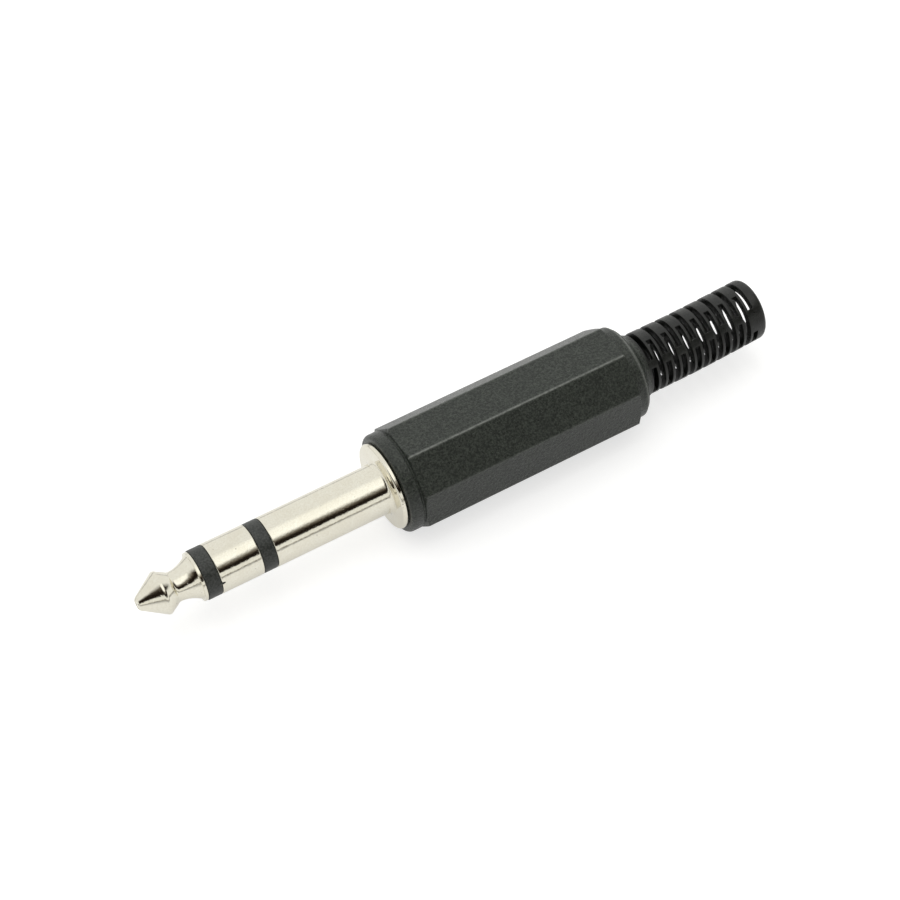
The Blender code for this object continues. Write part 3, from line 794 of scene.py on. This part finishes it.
    def tube_piece(self) -> None:
        """Build the tube that carries the ring back to its terminal."""
        flare_start = self.tube_end - self.tube_flare_length
        edge = 0.1 * MM
        outline = Outline().to(self.tube_end, self.tube_flare, edge)
        outline.to(flare_start, self.tube_flare, edge)
        outline.to(flare_start, self.tube).to(self.tube_start, self.tube)
        outline.to(self.tube_start, self.tube_inside).to(self.tube_end, self.tube_inside, edge)
        mesh = self.shop.turned("ring_core", outline)
        self.shop.piece("ring_core", mesh, TinPlate("core tin"), Body.PLUG, "ring_tube")

    def sleeve_piece(self) -> None:
        """Build the sleeve, its flange and its threaded barrel in one turning."""
        start = self.tip + 2 * self.band + self.ring
        rear = self.insertion + self.flange_thickness
        end = rear + self.barrel_length
        thread = Thread(rear + self.undercut_width, end, self.barrel - self.thread_depth, self.barrel)
        outline = Outline(steps=8).to(end, self.sleeve_bore + self.bore_bevel).to(end, self.chamfer)
        outline.through([(float(s), self.barrel) for s in thread.stations()[::-1]])
        outline.to(rear, self.undercut, 0.1 * MM).to(rear, self.flange, self.soft_edge)
        outline.to(self.insertion, self.flange, self.flange_round)
        outline.to(self.insertion, self.shaft, self.root_fillet)
        outline.to(start, self.shaft, self.edge).to(start, self.sleeve_bore)
        outline.to(end - self.bore_bevel, self.sleeve_bore)

        def cut(station: Array, radius: Array, angle: Array) -> Array:
            """Return the radius with the thread cut into the barrel and its end chamfered."""
            threaded = (np.abs(radius - self.barrel) < 1e-9) & (station >= thread.start - 1e-9)
            cutting = thread.radius(station, angle, self.undercut)
            chamfered = self.chamfer + (end - station) * self.chamfer_slope
            return np.where(threaded, np.minimum(cutting, chamfered), radius)

        mesh = self.shop.turned("sleeve", outline, shape=cut)
        self.shop.piece("sleeve", mesh, NickelPlate("sleeve nickel"), Body.PLUG, "sleeve_contact")

    def build(self) -> None:
        """Build every piece of the shaft."""
        self.tip_piece()
        self.rod_piece()
        self.band_piece("tip_insulator", self.tip, self.rod_bore, 1.5 * MM, 45.75 * MM)
        ring_end = self.tip + self.band + self.ring
        self.band_piece("ring_insulator", ring_end, self.tube_bore, 2.35 * MM, 44.0 * MM)
        self.ring_piece()
        self.tube_piece()
        self.sleeve_piece()


@dataclass
class Stamping:
    """A bent sheet: a strip of points along the plug and across it, given a thickness."""

    shop: Workshop
    thickness: float
    turn: float = 0.0
    edge: float = 0.07 * MM
    inner_bend: float = 0.3 * MM

    def sheet(self, name: str, rows: Array) -> Mesh:
        """Return the sheet's mesh.

        Args:
            name: Name of the mesh.
            rows: Rows by columns of station, sideways place and height over the axis.

        Returns:
            The mesh, thickened both ways from the rows and with rounded edges.
        """
        cos, sin = math.cos(self.turn), math.sin(self.turn)
        side = rows[..., 1] * cos - rows[..., 2] * sin
        up = rows[..., 1] * sin + rows[..., 2] * cos
        axis = self.shop.axis
        points = np.stack((axis.nose + rows[..., 0], side, axis.height + up), axis=-1)
        faces = quads(*points.shape[:2], closed=False, joined_up=False)
        mesh = bpy.data.meshes.new(name)
        mesh.from_pydata(points.reshape(-1, 3).tolist(), [], faces)
        solid = {"thickness": self.thickness, "offset": 0.0}
        bevel = {"width": self.edge, "segments": 3, "limit_method": "ANGLE"}
        return self.shop.applied(mesh, ("SOLIDIFY", solid), ("BEVEL", bevel))

    def riser(self, start: float, foot: float, top: float, end: float) -> Points:
        """Return a path that rises from a disc and bends back along the plug.

        Args:
            start: Station of the riser's middle.
            foot: Height where it starts.
            top: Height of the tongue's middle.
            end: Station where it ends.

        Returns:
            Points of station and height.
        """
        bend = self.inner_bend + self.thickness / 2
        path = [(start, foot + (top - bend - foot) * step / 4) for step in range(4)]
        for step in range(9):
            angle = math.radians(180 - 90 * step / 8)
            path.append((start + bend + bend * math.cos(angle), top - bend + bend * math.sin(angle)))
        first = start + bend
        path += [(first + (end - first) * step / 10, top) for step in range(1, 11)]
        return path


def joined(name: str, parts: list[Mesh]) -> Mesh:
    """Return one mesh that holds several."""
    shape = bmesh.new()
    for part in parts:
        shape.from_mesh(part)
    mesh = bpy.data.meshes.new(name)
    shape.to_mesh(mesh)
    shape.free()
    mesh.shade_smooth()
    mesh.set_sharp_from_angle(angle=SHARP_ANGLE)
    return mesh


@dataclass
class SolderEnd:
    """The earth clamp, washers and terminals behind the barrel."""

    shop: Workshop
    clamp_start: float = 42.35 * MM
    clamp_end: float = 62.88 * MM
    clamp_thickness: float = 0.8 * MM
    clamp_disc: float = 3.9 * MM
    clamp_bore: float = 2.4 * MM
    clamp_foot: float = 3.1 * MM
    clamp_drop: float = 3.9 * MM
    strip: float = 4.2 * MM
    cradle: float = 5.0 * MM
    cradle_width: float = 11.4 * MM
    cradle_steps: int = 24
    opening_lead: float = 0.9 * MM
    opening: float = 1.5 * MM
    washer_thickness: float = 0.8 * MM
    washer_rim: float = 3.1 * MM
    lug_thickness: float = 0.5 * MM
    lug_width: float = 2.2 * MM
    lug_disc: float = 2.9 * MM
    lug_foot: float = 2.2 * MM
    lug_hole: float = 0.55 * MM
    sheet_gap: float = 0.04 * MM

    def disc(self, name: str, start: float, thickness: float, bore: float, radius: float) -> Mesh:
        """Return a flat ring with rounded edges."""
        edge = min(0.1 * MM, thickness / 4)
        outline = Outline(steps=3).to(start + thickness, radius, edge).to(start, radius, edge)
        outline.to(start, bore, edge / 2).to(start + thickness, bore, edge / 2)
        return self.shop.turned(name, outline)

    def washer(self, name: str, start: float, bore: float) -> None:
        """Build a washer, whose node has the same name."""
        mesh = self.disc(name, start, self.washer_thickness, bore, self.washer_rim)
        self.shop.piece(name + "_fibre", mesh, FibreBoard(name + " fibre"), Body.PLUG, name)

    def clamp(self) -> None:
        """Build the earth clamp: a disc, a strip and a cradle that opens out of the strip.

        The strip and the cradle are bent round the axis, so that they clear the cover's thread.
        """
        stamping = Stamping(self.shop, self.clamp_thickness - self.sheet_gap)
        middle = self.clamp_start + self.clamp_thickness / 2
        last = self.clamp_end - self.cradle
        path = stamping.riser(middle, self.clamp_foot, self.clamp_drop, last)
        steps = range(1, self.cradle_steps + 1)
        path += [(last + self.cradle * step / self.cradle_steps, self.clamp_drop) for step in steps]
        across = np.linspace(-0.5, 0.5, 25)
        rows = []
        for station, drop in path:
            share = eased(min(1.0, max(0.0, (station - last + self.opening_lead) / self.opening)))
            turn = across * (self.strip + (self.cradle_width - self.strip) * share) / drop
            side, height = drop * np.sin(turn), -drop * np.cos(turn)
            rows.append(np.stack((np.full_like(side, station), side, height), axis=-1))
        sheet = stamping.sheet("clamp_sheet", np.array(rows))
        disc = self.disc(
            "clamp_disc", self.clamp_start, self.clamp_thickness, self.clamp_bore, self.clamp_disc
        )
        mesh = joined("clamp", [disc, sheet])
        self.shop.piece("clamp", mesh, TinPlate("clamp tin"), Body.PLUG, "cable_clamp")

    def lug(self, name: str, start: float, bore: float, rise: float, length: float, turn: float) -> None:
        """Build a solder terminal, whose node has the same name.

        Args:
            name: Name of the node.
            start: Station of the disc's front face.
            bore: Radius of the disc's hole.
            rise: Distance of the tongue's outer face from the axis.
            length: Reach of the tongue behind the disc's front face.
            turn: Turn of the tongue about the axis, from straight up, in degrees.
        """
        thickness = self.lug_thickness - self.sheet_gap
        stamping = Stamping(self.shop, thickness, math.radians(turn))
        half = self.lug_width / 2
        top = rise - thickness / 2
        eye_at = start + length - half
        path = stamping.riser(start + self.lug_thickness / 2, self.lug_foot, top, eye_at - half)
        across = np.linspace(-half, half, 7)
        rows = [np.stack((0 * across + s, across, 0 * across + h), axis=-1) for s, h in path]
        sheet = stamping.sheet(name + "_sheet", np.array(rows))
        angles = np.linspace(0, 2 * math.pi, 49)
        cos, sin = np.cos(angles), np.sin(angles)
        reach = np.where(cos > 0, half, half / np.maximum(np.abs(sin), np.abs(cos)))
        rings = []
        for share in np.linspace(0, 1, 4):
            size = self.lug_hole + (reach - self.lug_hole) * share
            rings.append(np.stack((eye_at + size * cos, size * sin, 0 * angles + top), axis=-1))
        eye = stamping.sheet(name + "_eye", np.array(rings))
        disc = self.disc(name + "_disc", start, self.lug_thickness, bore, self.lug_disc)
        mesh = joined(name, [disc, sheet, eye])
        self.shop.piece(name.replace("terminal", "lug"), mesh, TinPlate(name + " tin"), Body.PLUG, name)

    def build(self) -> None:
        """Build every piece of the solder end."""
        self.clamp()
        self.washer("ring_washer", 43.2 * MM, 2.4 * MM)
        self.washer("tip_washer", 44.95 * MM, 1.55 * MM)
        self.lug("ring_terminal", 44.05 * MM, 1.9 * MM, 4.2 * MM, 7.0 * MM, 50)
        self.lug("tip_terminal", 45.8 * MM, 1.05 * MM, 3.9 * MM, 8.5 * MM, -50)


@dataclass
class Cover:
    """The octagonal cover with its collars, shoulder and inner thread."""

    shop: Workshop
    start: float = 32.92 * MM
    end: float = 68.1 * MM
    apothem: float = 6.35 * MM
    edge: float = 0.34 * MM
    grip_start: float = 34.75 * MM
    grip_end: float = 65.2 * MM
    lead_in: float = 0.35 * MM
    run_out: float = 0.5 * MM
    collar: float = 6.33 * MM
    mouth_drop: float = 0.45 * MM
    mouth_round: float = 0.6 * MM
    groove: float = 6.19 * MM
    groove_width: float = 0.3 * MM
    rear_collar: float = 6.0 * MM
    rim: float = 5.65 * MM
    rim_start: float = 66.35 * MM
    shoulder_start: float = 66.65 * MM
    shoulder_sweep: float = 2.2
    thread_end: float = 43.55 * MM
    thread_root: float = 4.85 * MM
    thread_crest: float = 4.36 * MM
    cavity: float = 5.0 * MM
    cavity_end: float = 65.8 * MM
    outlet: float = 4.12 * MM
    lip: float = 0.02 * MM
    beyond: float = 6.95 * MM
    rim_bevel: float = 0.08 * MM
    trim: float = 0.09 * MM
    thread_fade: float = 0.5 * MM
    thread_run_out: float = 0.3 * MM
    shoulder_steps: int = 20
    mouth_steps: int = 12
    facet_columns: int = 26
    crowding: float = 1.6
    rear_step: float = 0.12 * MM
    front_step: float = 0.07 * MM
    grip_rows: int = 30
    # Edge and rim marks: partly wear and partly painted highlight; the per-edge amounts set how strong
    # each edge's painted highlight is.
    edge_scuff_and_highlight: tuple[float, ...] = (0.8, 0.6, 1.0, 0.3, 0.6, 0.5, 0.6, 0.5)
    scuff_highlight_turn: float = 0.021
    rim_scuff_and_highlight: float = 0.8
    scuff_highlight_rim_reach: float = 0.22 * MM
    edge_radius: float = 6.5 * MM
    rim_radius: float = 5.5 * MM

    def angles(self) -> Array:
        """Return column angles that crowd towards the octagon's edges."""
        share = np.linspace(-1, 1, self.facet_columns + 1)[:-1]
        facet = HALF_FACET * np.sign(share) * (1 - (1 - np.abs(share)) ** self.crowding)
        return np.concatenate([facet + 2 * HALF_FACET * index for index in range(8)])

    def facet_turn(self, angle: Array) -> Array:
        """Return how far each angle lies from the middle of its facet."""
        return np.abs(np.mod(angle + HALF_FACET, 2 * HALF_FACET) - HALF_FACET)

    def octagon(self, angle: Array) -> Array:
        """Return the radius of the octagon with rounded edges at each angle."""
        local = self.facet_turn(angle)
        middle = (self.apothem - self.edge) / math.cos(HALF_FACET)
        tangent = math.atan(math.tan(HALF_FACET) * (self.apothem - self.edge) / self.apothem)
        beside = HALF_FACET - local
        inside = np.maximum(self.edge**2 - (middle * np.sin(beside)) ** 2, 0.0)
        rounded = middle * np.cos(beside) + np.sqrt(inside)
        return np.where(local < tangent, self.apothem / np.cos(local), rounded)

    def outside(self) -> Points:
        """Return the turned form that trims the octagon, from the outlet forwards to the mouth."""
        lip, rim = self.outlet + self.lip, self.rim + self.lip
        bevel, after = self.rim_bevel, self.rim_start
        corners = []
        for step in range(self.shoulder_steps + 1):
            share = step / self.shoulder_steps
            station = self.end - (self.end - self.shoulder_start) * share
            corners.append((station, lip + (self.rim - lip) * share**self.shoulder_sweep))
        corners += [(after + bevel, rim), (after, self.rear_collar - bevel)]
        corners += [(after - bevel, self.rear_collar), (self.grip_end, self.rear_collar)]
        corners.append((self.grip_end - self.run_out, self.beyond))
        corners.append((self.grip_start + self.lead_in, self.beyond))
        corners.append((self.grip_start, self.groove))
        corners.append((self.grip_start - self.groove_width / 2, self.groove))
        corners.append((self.grip_start - self.groove_width, self.collar))
        for step in range(self.mouth_steps + 1):
            angle = math.pi / 2 * step / self.mouth_steps
            station = self.start + self.mouth_round * (1 - math.sin(angle))
            corners.append((station, self.collar - self.mouth_drop * (1 - math.cos(angle))))
        return corners

    def refined(self, corners: Points, step: float) -> Points:
        """Return a line through corners with no gap longer than a step."""
        made = [corners[0]]
        for (s0, r0), (s1, r1) in zip(corners, corners[1:]):
            count = max(1, math.ceil(math.hypot(s1 - s0, r1 - r0) / step))
            shares = [index / count for index in range(1, count + 1)]
            made += [(s0 + (s1 - s0) * share, r0 + (r1 - r0) * share) for share in shares]
        return made

    def build(self) -> None:
        """Build the cover."""
        root, crest, fade = self.thread_root, self.thread_crest, self.thread_fade
        thread = Thread(self.start, self.thread_end, root, crest, fade=fade, lead=0.5)
        corners = self.outside()
        split = next(i for i, c in enumerate(corners) if c[0] < self.grip_end)
        rear = self.refined(corners[: split + 1], self.rear_step)
        front = self.refined(corners[split + 1 :], self.front_step)
        grip = np.linspace(rear[-1][0], front[0][0], self.grip_rows + 1)[1:-1]
        outline = Outline().through(rear)
        outline.through([(float(station), self.beyond) for station in grip]).through(front)
        skin = len(outline.corners)
        outline.through([(float(station), root) for station in thread.stations()])
        outline.to(self.thread_end + self.thread_run_out, self.cavity)
        outline.to(self.cavity_end, self.cavity)
        outline.to(self.cavity_end, self.outlet).to(self.end, self.outlet)

        def moulded(station: Array, radius: Array, angle: Array) -> Array:
            """Return the radius of the trimmed octagon outside and of the thread inside."""
            made = radius.copy()
            flat = self.octagon(angle)
            round_form = radius[:skin]
            blend = np.clip(0.5 + 0.5 * (flat - round_form) / self.trim, 0, 1)
            worn = 0.5 * self.trim * blend * (1 - blend)
            made[:skin] = flat * (1 - blend) + round_form * blend - worn
            rows = slice(skin, skin + len(thread.stations()))
            made[rows] = thread.radius(station[rows], angle, root)
            return made

        mesh = self.shop.turned("cover_moulding", outline, shape=moulded, angles=self.angles())
        self.rub_and_highlight_edges(mesh)
        self.shop.piece("cover_moulding", mesh, CoverPlastic("cover plastic"), Body.SHELL, "cover")

    def rub_and_highlight_edges(self, mesh: Mesh) -> None:
        """Mark the octagon's edges and the rim behind its facets, where the cover's material paints a
        paler colour that is partly wear and partly painted highlight.
        """
        count = len(mesh.vertices)
        places = np.empty(count * 3)
        mesh.vertices.foreach_get("co", places)
        places = places.reshape(-1, 3)
        axis = self.shop.axis
        station = places[:, 0] - axis.nose
        up = places[:, 2] - axis.height
        radius = np.hypot(places[:, 1], up)
        angle = np.arctan2(up, places[:, 1])
        near = np.clip(1.2 - (HALF_FACET - self.facet_turn(angle)) / self.scuff_highlight_turn, 0, 1)
        facet = np.floor(angle / (2 * HALF_FACET)).astype(int)
        amounts = np.array(self.edge_scuff_and_highlight)[np.mod(facet, 8)]
        outer = (radius > self.edge_radius) & (station > self.grip_start) & (station < self.grip_end)
        rim = np.clip(1.3 - np.abs(station - self.rim_start) / self.scuff_highlight_rim_reach, 0, 1)
        rim *= radius > self.rim_radius
        # The marked edges and rim get a paler colour that is partly wear and partly painted highlight.
        worn = np.maximum(np.where(outer, near * amounts, 0.0), self.rim_scuff_and_highlight * rim)
        mesh.attributes["wear_and_highlight"].data.foreach_set("value", worn.astype(np.float32))


@dataclass
class StrainRelief:
    """The slotted tube that guards the cable, with the flange that the cover holds."""

    shop: Workshop
    end: float = 85.6 * MM
    neck: float = 68.1 * MM
    flange_start: float = 64.38 * MM
    flange_end: float = 65.68 * MM
    flange: float = 4.8 * MM
    front: float = 4.0 * MM
    tail: float = 3.95 * MM
    bore: float = 3.0 * MM
    end_round: float = 0.6 * MM
    end_steps: int = 8
    bore_bevel: float = 0.04 * MM
    bore_round: float = 0.12 * MM
    edge: float = 0.11 * MM
    bend: float = 0.36 * MM
    bend_start: float = 74.0 * MM
    bend_turn: float = 37.0
    bend_power: float = 1.4
    pitch: float = 1.07 * MM
    slot: float = 0.71 * MM
    last: float = 83.75 * MM
    slots: int = 15
    bevel_angle: float = 38.0
    sharp_angle: float = 50.0
    webs: tuple[tuple[tuple[float, float], ...], ...] = (
        ((-8, 60), (138, 15), (245, 84)),
        ((65, 58), (302, 50)),
        ((2, 40), (152, 46), (230, 53)),
    )
    column_step: float = 4.5

    def outer(self, station: float) -> float:
        """Return the outer radius at a station."""
        share = max(0.0, (station - self.neck) / (self.end - self.neck))
        return self.front + (self.tail - self.front) * share

    def columns(self) -> Array:
        """Return the angles of the columns in degrees, with one at each side of each web."""
        every = [web for kind in self.webs for web in kind]
        halves = [(middle, side * width / 2) for middle, width in every for side in (-1, 1)]
        sides = sorted({(middle + half) % 360 for middle, half in halves})
        made: list[float] = []
        for first, last in zip(sides, [*sides[1:], sides[0] + 360]):
            count = math.ceil((last - first) / self.column_step)
            made += [first + (last - first) * step / count for step in range(count)]
        return np.array(made)

    def opened(self, columns: Array) -> list[Array]:
        """Return which cells between columns each kind of slot opens.

        Args:
            columns: Angles of the columns in degrees.

        Returns:
            For each kind of slot an array that is True where a cell is open.
        """
        middles = (columns + np.append(columns[1:], columns[0] + 360)) / 2
        made = []
        for kind in self.webs:
            open_cells = np.ones(len(columns), bool)
            for middle, width in kind:
                away = np.abs((middles - middle + 180) % 360 - 180)
                open_cells &= away > width / 2
            made.append(open_cells)
        return made

    def rows(self) -> tuple[Points, dict[int, int]]:
        """Return the rows of the closed section, and the rows where each slot starts.

        Returns:
            Points of station and radius, and for each row that a slot starts at, the slot's kind.
        """
        made = [(self.flange_start, self.bore), (self.flange_start, self.flange)]
        made += [(self.flange_end, self.flange), (self.flange_end, self.front)]
        made.append((self.neck, self.front))
        starts: dict[int, int] = {}
        edges = []
        for index in range(self.slots - 1, -1, -1):
            middle = self.last - index * self.pitch
            kind = index % 2 if index else 2
            edges.append((middle - self.slot / 2, middle + self.slot / 2, kind))
        for low, high, kind in edges:
            starts[len(made)] = kind
            made += [(low, self.outer(low)), (high, self.outer(high))]
        corner = self.end - self.end_round
        for step in range(self.end_steps + 1):
            angle = math.pi / 2 * step / self.end_steps
            drop = self.end_round * (1 - math.cos(angle))
            made.append((corner + self.end_round * math.sin(angle), self.tail - drop))
        made.append((self.end - self.bore_bevel, self.bore + self.bore_bevel))
        made.append((self.end - self.bore_round, self.bore))
        for low, high, kind in reversed(edges):
            starts[len(made)] = kind
            made += [(high, self.bore), (low, self.bore)]
        return made, starts

    def lean(self, station: Array) -> Array:
        """Return how far the soft tube leans aside along X, Y and Z at each station."""
        share = np.clip((station - self.bend_start) / (self.end - self.bend_start), 0, 1)
        turn = math.radians(self.bend_turn)
        way = (0.0, math.cos(turn), math.sin(turn))
        return np.outer(self.bend * share**self.bend_power, way)

    def grid(self) -> Grid:
        """Return the tube with its slots cut."""
        rows, starts = self.rows()
        columns = self.columns()
        opened = self.opened(columns)
        stations, radii = np.array(rows).T
        points = self.shop.axis.points(stations[:, None], radii[:, None], np.radians(columns)[None, :])
        points += self.lean(stations)[:, None, :]
        count, width = points.shape[:2]
        faces = []
        for index, face in enumerate(quads(count, width)):
            row, column = divmod(index, width)
            if row not in starts or not opened[starts[row]][column]:
                faces.append(face)
        outer_rows = sorted(starts)[: self.slots]
        inner_rows = sorted(starts)[self.slots :][::-1]
        for outside, inside in zip(outer_rows, inner_rows):
            faces += self.lining(opened[starts[outside]], outside, inside)
        return Grid(points.reshape(-1, 3), np.zeros(count * width), faces)

    def lining(self, cells: Array, outside: int, inside: int) -> list[tuple[int, ...]]:
        """Return the faces that line a slot from the tube's outside to its bore.

        Args:
            cells: Which cells the slot opens.
            outside: Row on the tube's outside where the slot starts.
            inside: Row in its bore where it ends.

        Returns:
            The faces of its two sides, then those of its ends at the webs.
        """
        width = len(cells)
        low, high = outside * width, (outside + 1) * width
        near, far = inside * width, (inside + 1) * width
        made = []
        for outer, inner in ((low, far), (high, near)):
            for column in np.flatnonzero(cells).tolist():
                beside = (column + 1) % width
                made.append((outer + column, outer + beside, inner + beside, inner + column))
        for column in np.flatnonzero(cells != np.roll(cells, 1)).tolist():
            made.append((low + column, high + column, near + column, far + column))
        return made

    def build(self) -> None:
        """Build the strain relief."""
        mesh = finished_mesh("boot", self.grid())
        bevel = {"width": self.edge, "segments": 3, "limit_method": "ANGLE"}
        bevel["angle_limit"] = math.radians(self.bevel_angle)
        mesh = self.shop.applied(mesh, ("BEVEL", bevel))
        mesh.set_sharp_from_angle(angle=math.radians(self.sharp_angle))
        self.shop.piece("boot", mesh, BootPlastic("boot plastic"), Body.RELIEF, "strain_relief")


# Studio


@dataclass
class Studio:
    """The floor, the light and the camera."""

    focal_length: float = 92.18
    sensor: float = 36.0
    camera_place: tuple[float, float, float] = (-84.14 * MM, -158.88 * MM, 216.74 * MM)
    camera_turns: tuple[float, ...] = (37.057, -17.5978, -0.5712, -25.6128)
    shift: tuple[float, float] = (-0.01578, 0.02581)
    clip: tuple[float, float] = (0.01, 20.0)
    floor_size: float = 1.6
    floor_glow: float = 0.68
    floor_mirrored: float = 0.44
    floor_fade: tuple[float, float] = (60 * MM, 110 * MM)
    floor_colours: tuple[Colour, Colour] = ((0.48, 0.48, 0.48), (0.52, 0.52, 0.52))
    lamp_place: tuple[float, float, float] = (-0.05, 0.12, 0.60)
    lamp_size: float = 0.50
    lamp_power: float = 0.9
    sky: Colour = (0.90, 0.90, 0.882)
    front: tuple[float, float] = (0.20, -0.06)
    warmth: tuple[tuple[float, float, float], ...] = ((1.0, 0.33, 5.5), (0.97, 0.53, 4.5))
    levels: tuple[tuple[float, float], ...] = (
        (0.0, 0.85), (0.496, 0.30), (0.501, 0.22), (0.520, 0.22), (0.532, 0.92), (0.662, 0.86),
        (0.680, 0.015), (0.780, 0.012), (0.833, 0.14), (0.877, 0.48), (0.907, 1.06), (0.930, 1.22),
        (0.965, 1.20), (1.0, 1.12),
    )

    def camera(self) -> None:
        """Place the camera at the photograph's viewing angle."""
        data = bpy.data.cameras.new("camera")
        data.lens = self.focal_length
        data.sensor_width = self.sensor
        data.shift_x, data.shift_y = self.shift
        data.clip_start, data.clip_end = self.clip
        turn = Matrix.Identity(4)
        for axis, angle in zip("XYXZ", self.camera_turns):
            turn = turn @ Matrix.Rotation(math.radians(angle), 4, axis)
        made = placed("camera", data)
        made.matrix_world = Matrix.Translation(Vector(self.camera_place)) @ turn
        bpy.context.scene.camera = made

    def floor(self) -> None:
        """Lay a pale paper floor that shows white and keeps the plug's shadow.

        What the plug mirrors of it fades with the distance, which draws the horizon on the shaft.
        """
        mesh = bpy.data.meshes.new("floor")
        half = self.floor_size / 2
        corners = [(-half, -half, 0), (half, -half, 0), (half, half, 0), (-half, half, 0)]
        mesh.from_pydata(corners, [], [(0, 1, 2, 3)])
        shader = Shader("floor paper")
        fibre = shader.noise(900, 4.0, 0.6)
        shader.drive("Base Color", shader.blend(fibre, *self.floor_colours))
        shader.drive("Roughness", 0.9)
        shader.drive("Normal", shader.bump(fibre, 0.02 * MM, 0.3))
        far = shader.add("ShaderNodeVectorMath", "Value", {0: shader.place}, operation="LENGTH")
        near = shader.remap(far, *self.floor_fade, self.floor_mirrored, 0.0)
        glossy = shader.add("ShaderNodeLightPath", "Is Glossy Ray")
        shown = shader.product(shader.seen(), self.floor_glow)
        strength = shader.combine("MAXIMUM", shown, shader.product(glossy, near))
        glow = shader.add("ShaderNodeEmission", 0, {"Strength": strength})
        both = shader.add("ShaderNodeAddShader", 0, {0: shader.surface.outputs[0], 1: glow})
        shader.fill(shader.tree.nodes["Material Output"].inputs["Surface"], both)
        mesh.materials.append(shader.material)
        made = placed("floor", mesh)

    def world(self) -> None:
        """Surround the plug with a white studio that has dark gaps low in front.

        The levels are brightnesses by height, from straight down at 0 to straight up at 1. They hold
        in front of the plug, and behind it lies the even sky. Darker levels are warmer: the warmth
        gives green's and blue's share of red, how much of it a dark level loses and how soon.
        """
        world = bpy.data.worlds.new("studio")
        world.use_nodes = True
        bpy.context.scene.world = world
        nodes = Nodes(world.node_tree)
        way = nodes.add("ShaderNodeTexCoord", "Generated")
        up = nodes.add("ShaderNodeSeparateXYZ", "Z", {0: way})
        ramp = nodes.add("ShaderNodeValToRGB", "Color", {"Fac": nodes.remap(up, -1.0, 1.0)})
        stops = ramp.node.color_ramp.elements
        for index, (where, level) in enumerate(self.levels):
            stop = stops[index] if index < 2 else stops.new(where)
            stop.position = where
            green, blue = (top - drop * math.exp(-speed * level) for top, drop, speed in self.warmth)
            stop.color = (level, level * green, level * blue, 1.0)
        front = nodes.remap(up.node.outputs["Y"], *self.front)
        shown = nodes.blend(nodes.seen(), nodes.blend(front, self.sky, ramp), (1.0, 1.0, 1.0))
        nodes.fill(nodes.tree.nodes["Background"].inputs["Color"], shown)

    def lamp(self) -> None:
        """Add a soft square lamp overhead that points at the plug."""
        data = bpy.data.lights.new("overhead", "AREA")
        data.shape = "SQUARE"
        data.size = self.lamp_size
        data.energy = self.lamp_power
        made = placed("overhead", data)
        made.location = self.lamp_place
        made.visible_glossy = False
        made.rotation_mode = "QUATERNION"
        made.rotation_quaternion = (-Vector(self.lamp_place)).to_track_quat("-Z", "Y")

    def build(self) -> None:
        """Set up the whole studio."""
        bpy.context.scene.view_settings.view_transform = "Standard"
        self.camera()
        self.floor()
        self.world()
        self.lamp()
        LOG.info("studio: camera, floor, world and lamp")


def main() -> None:
    """Build the plug and its studio."""
    logging.basicConfig(level=logging.INFO, format="%(message)s")
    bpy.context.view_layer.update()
    Studio().build()
    shop = Workshop(Axis.of_frame())
    Contacts(shop).build()
    SolderEnd(shop).build()
    Cover(shop).build()
    StrainRelief(shop).build()


if __name__ == "__main__":
    main()
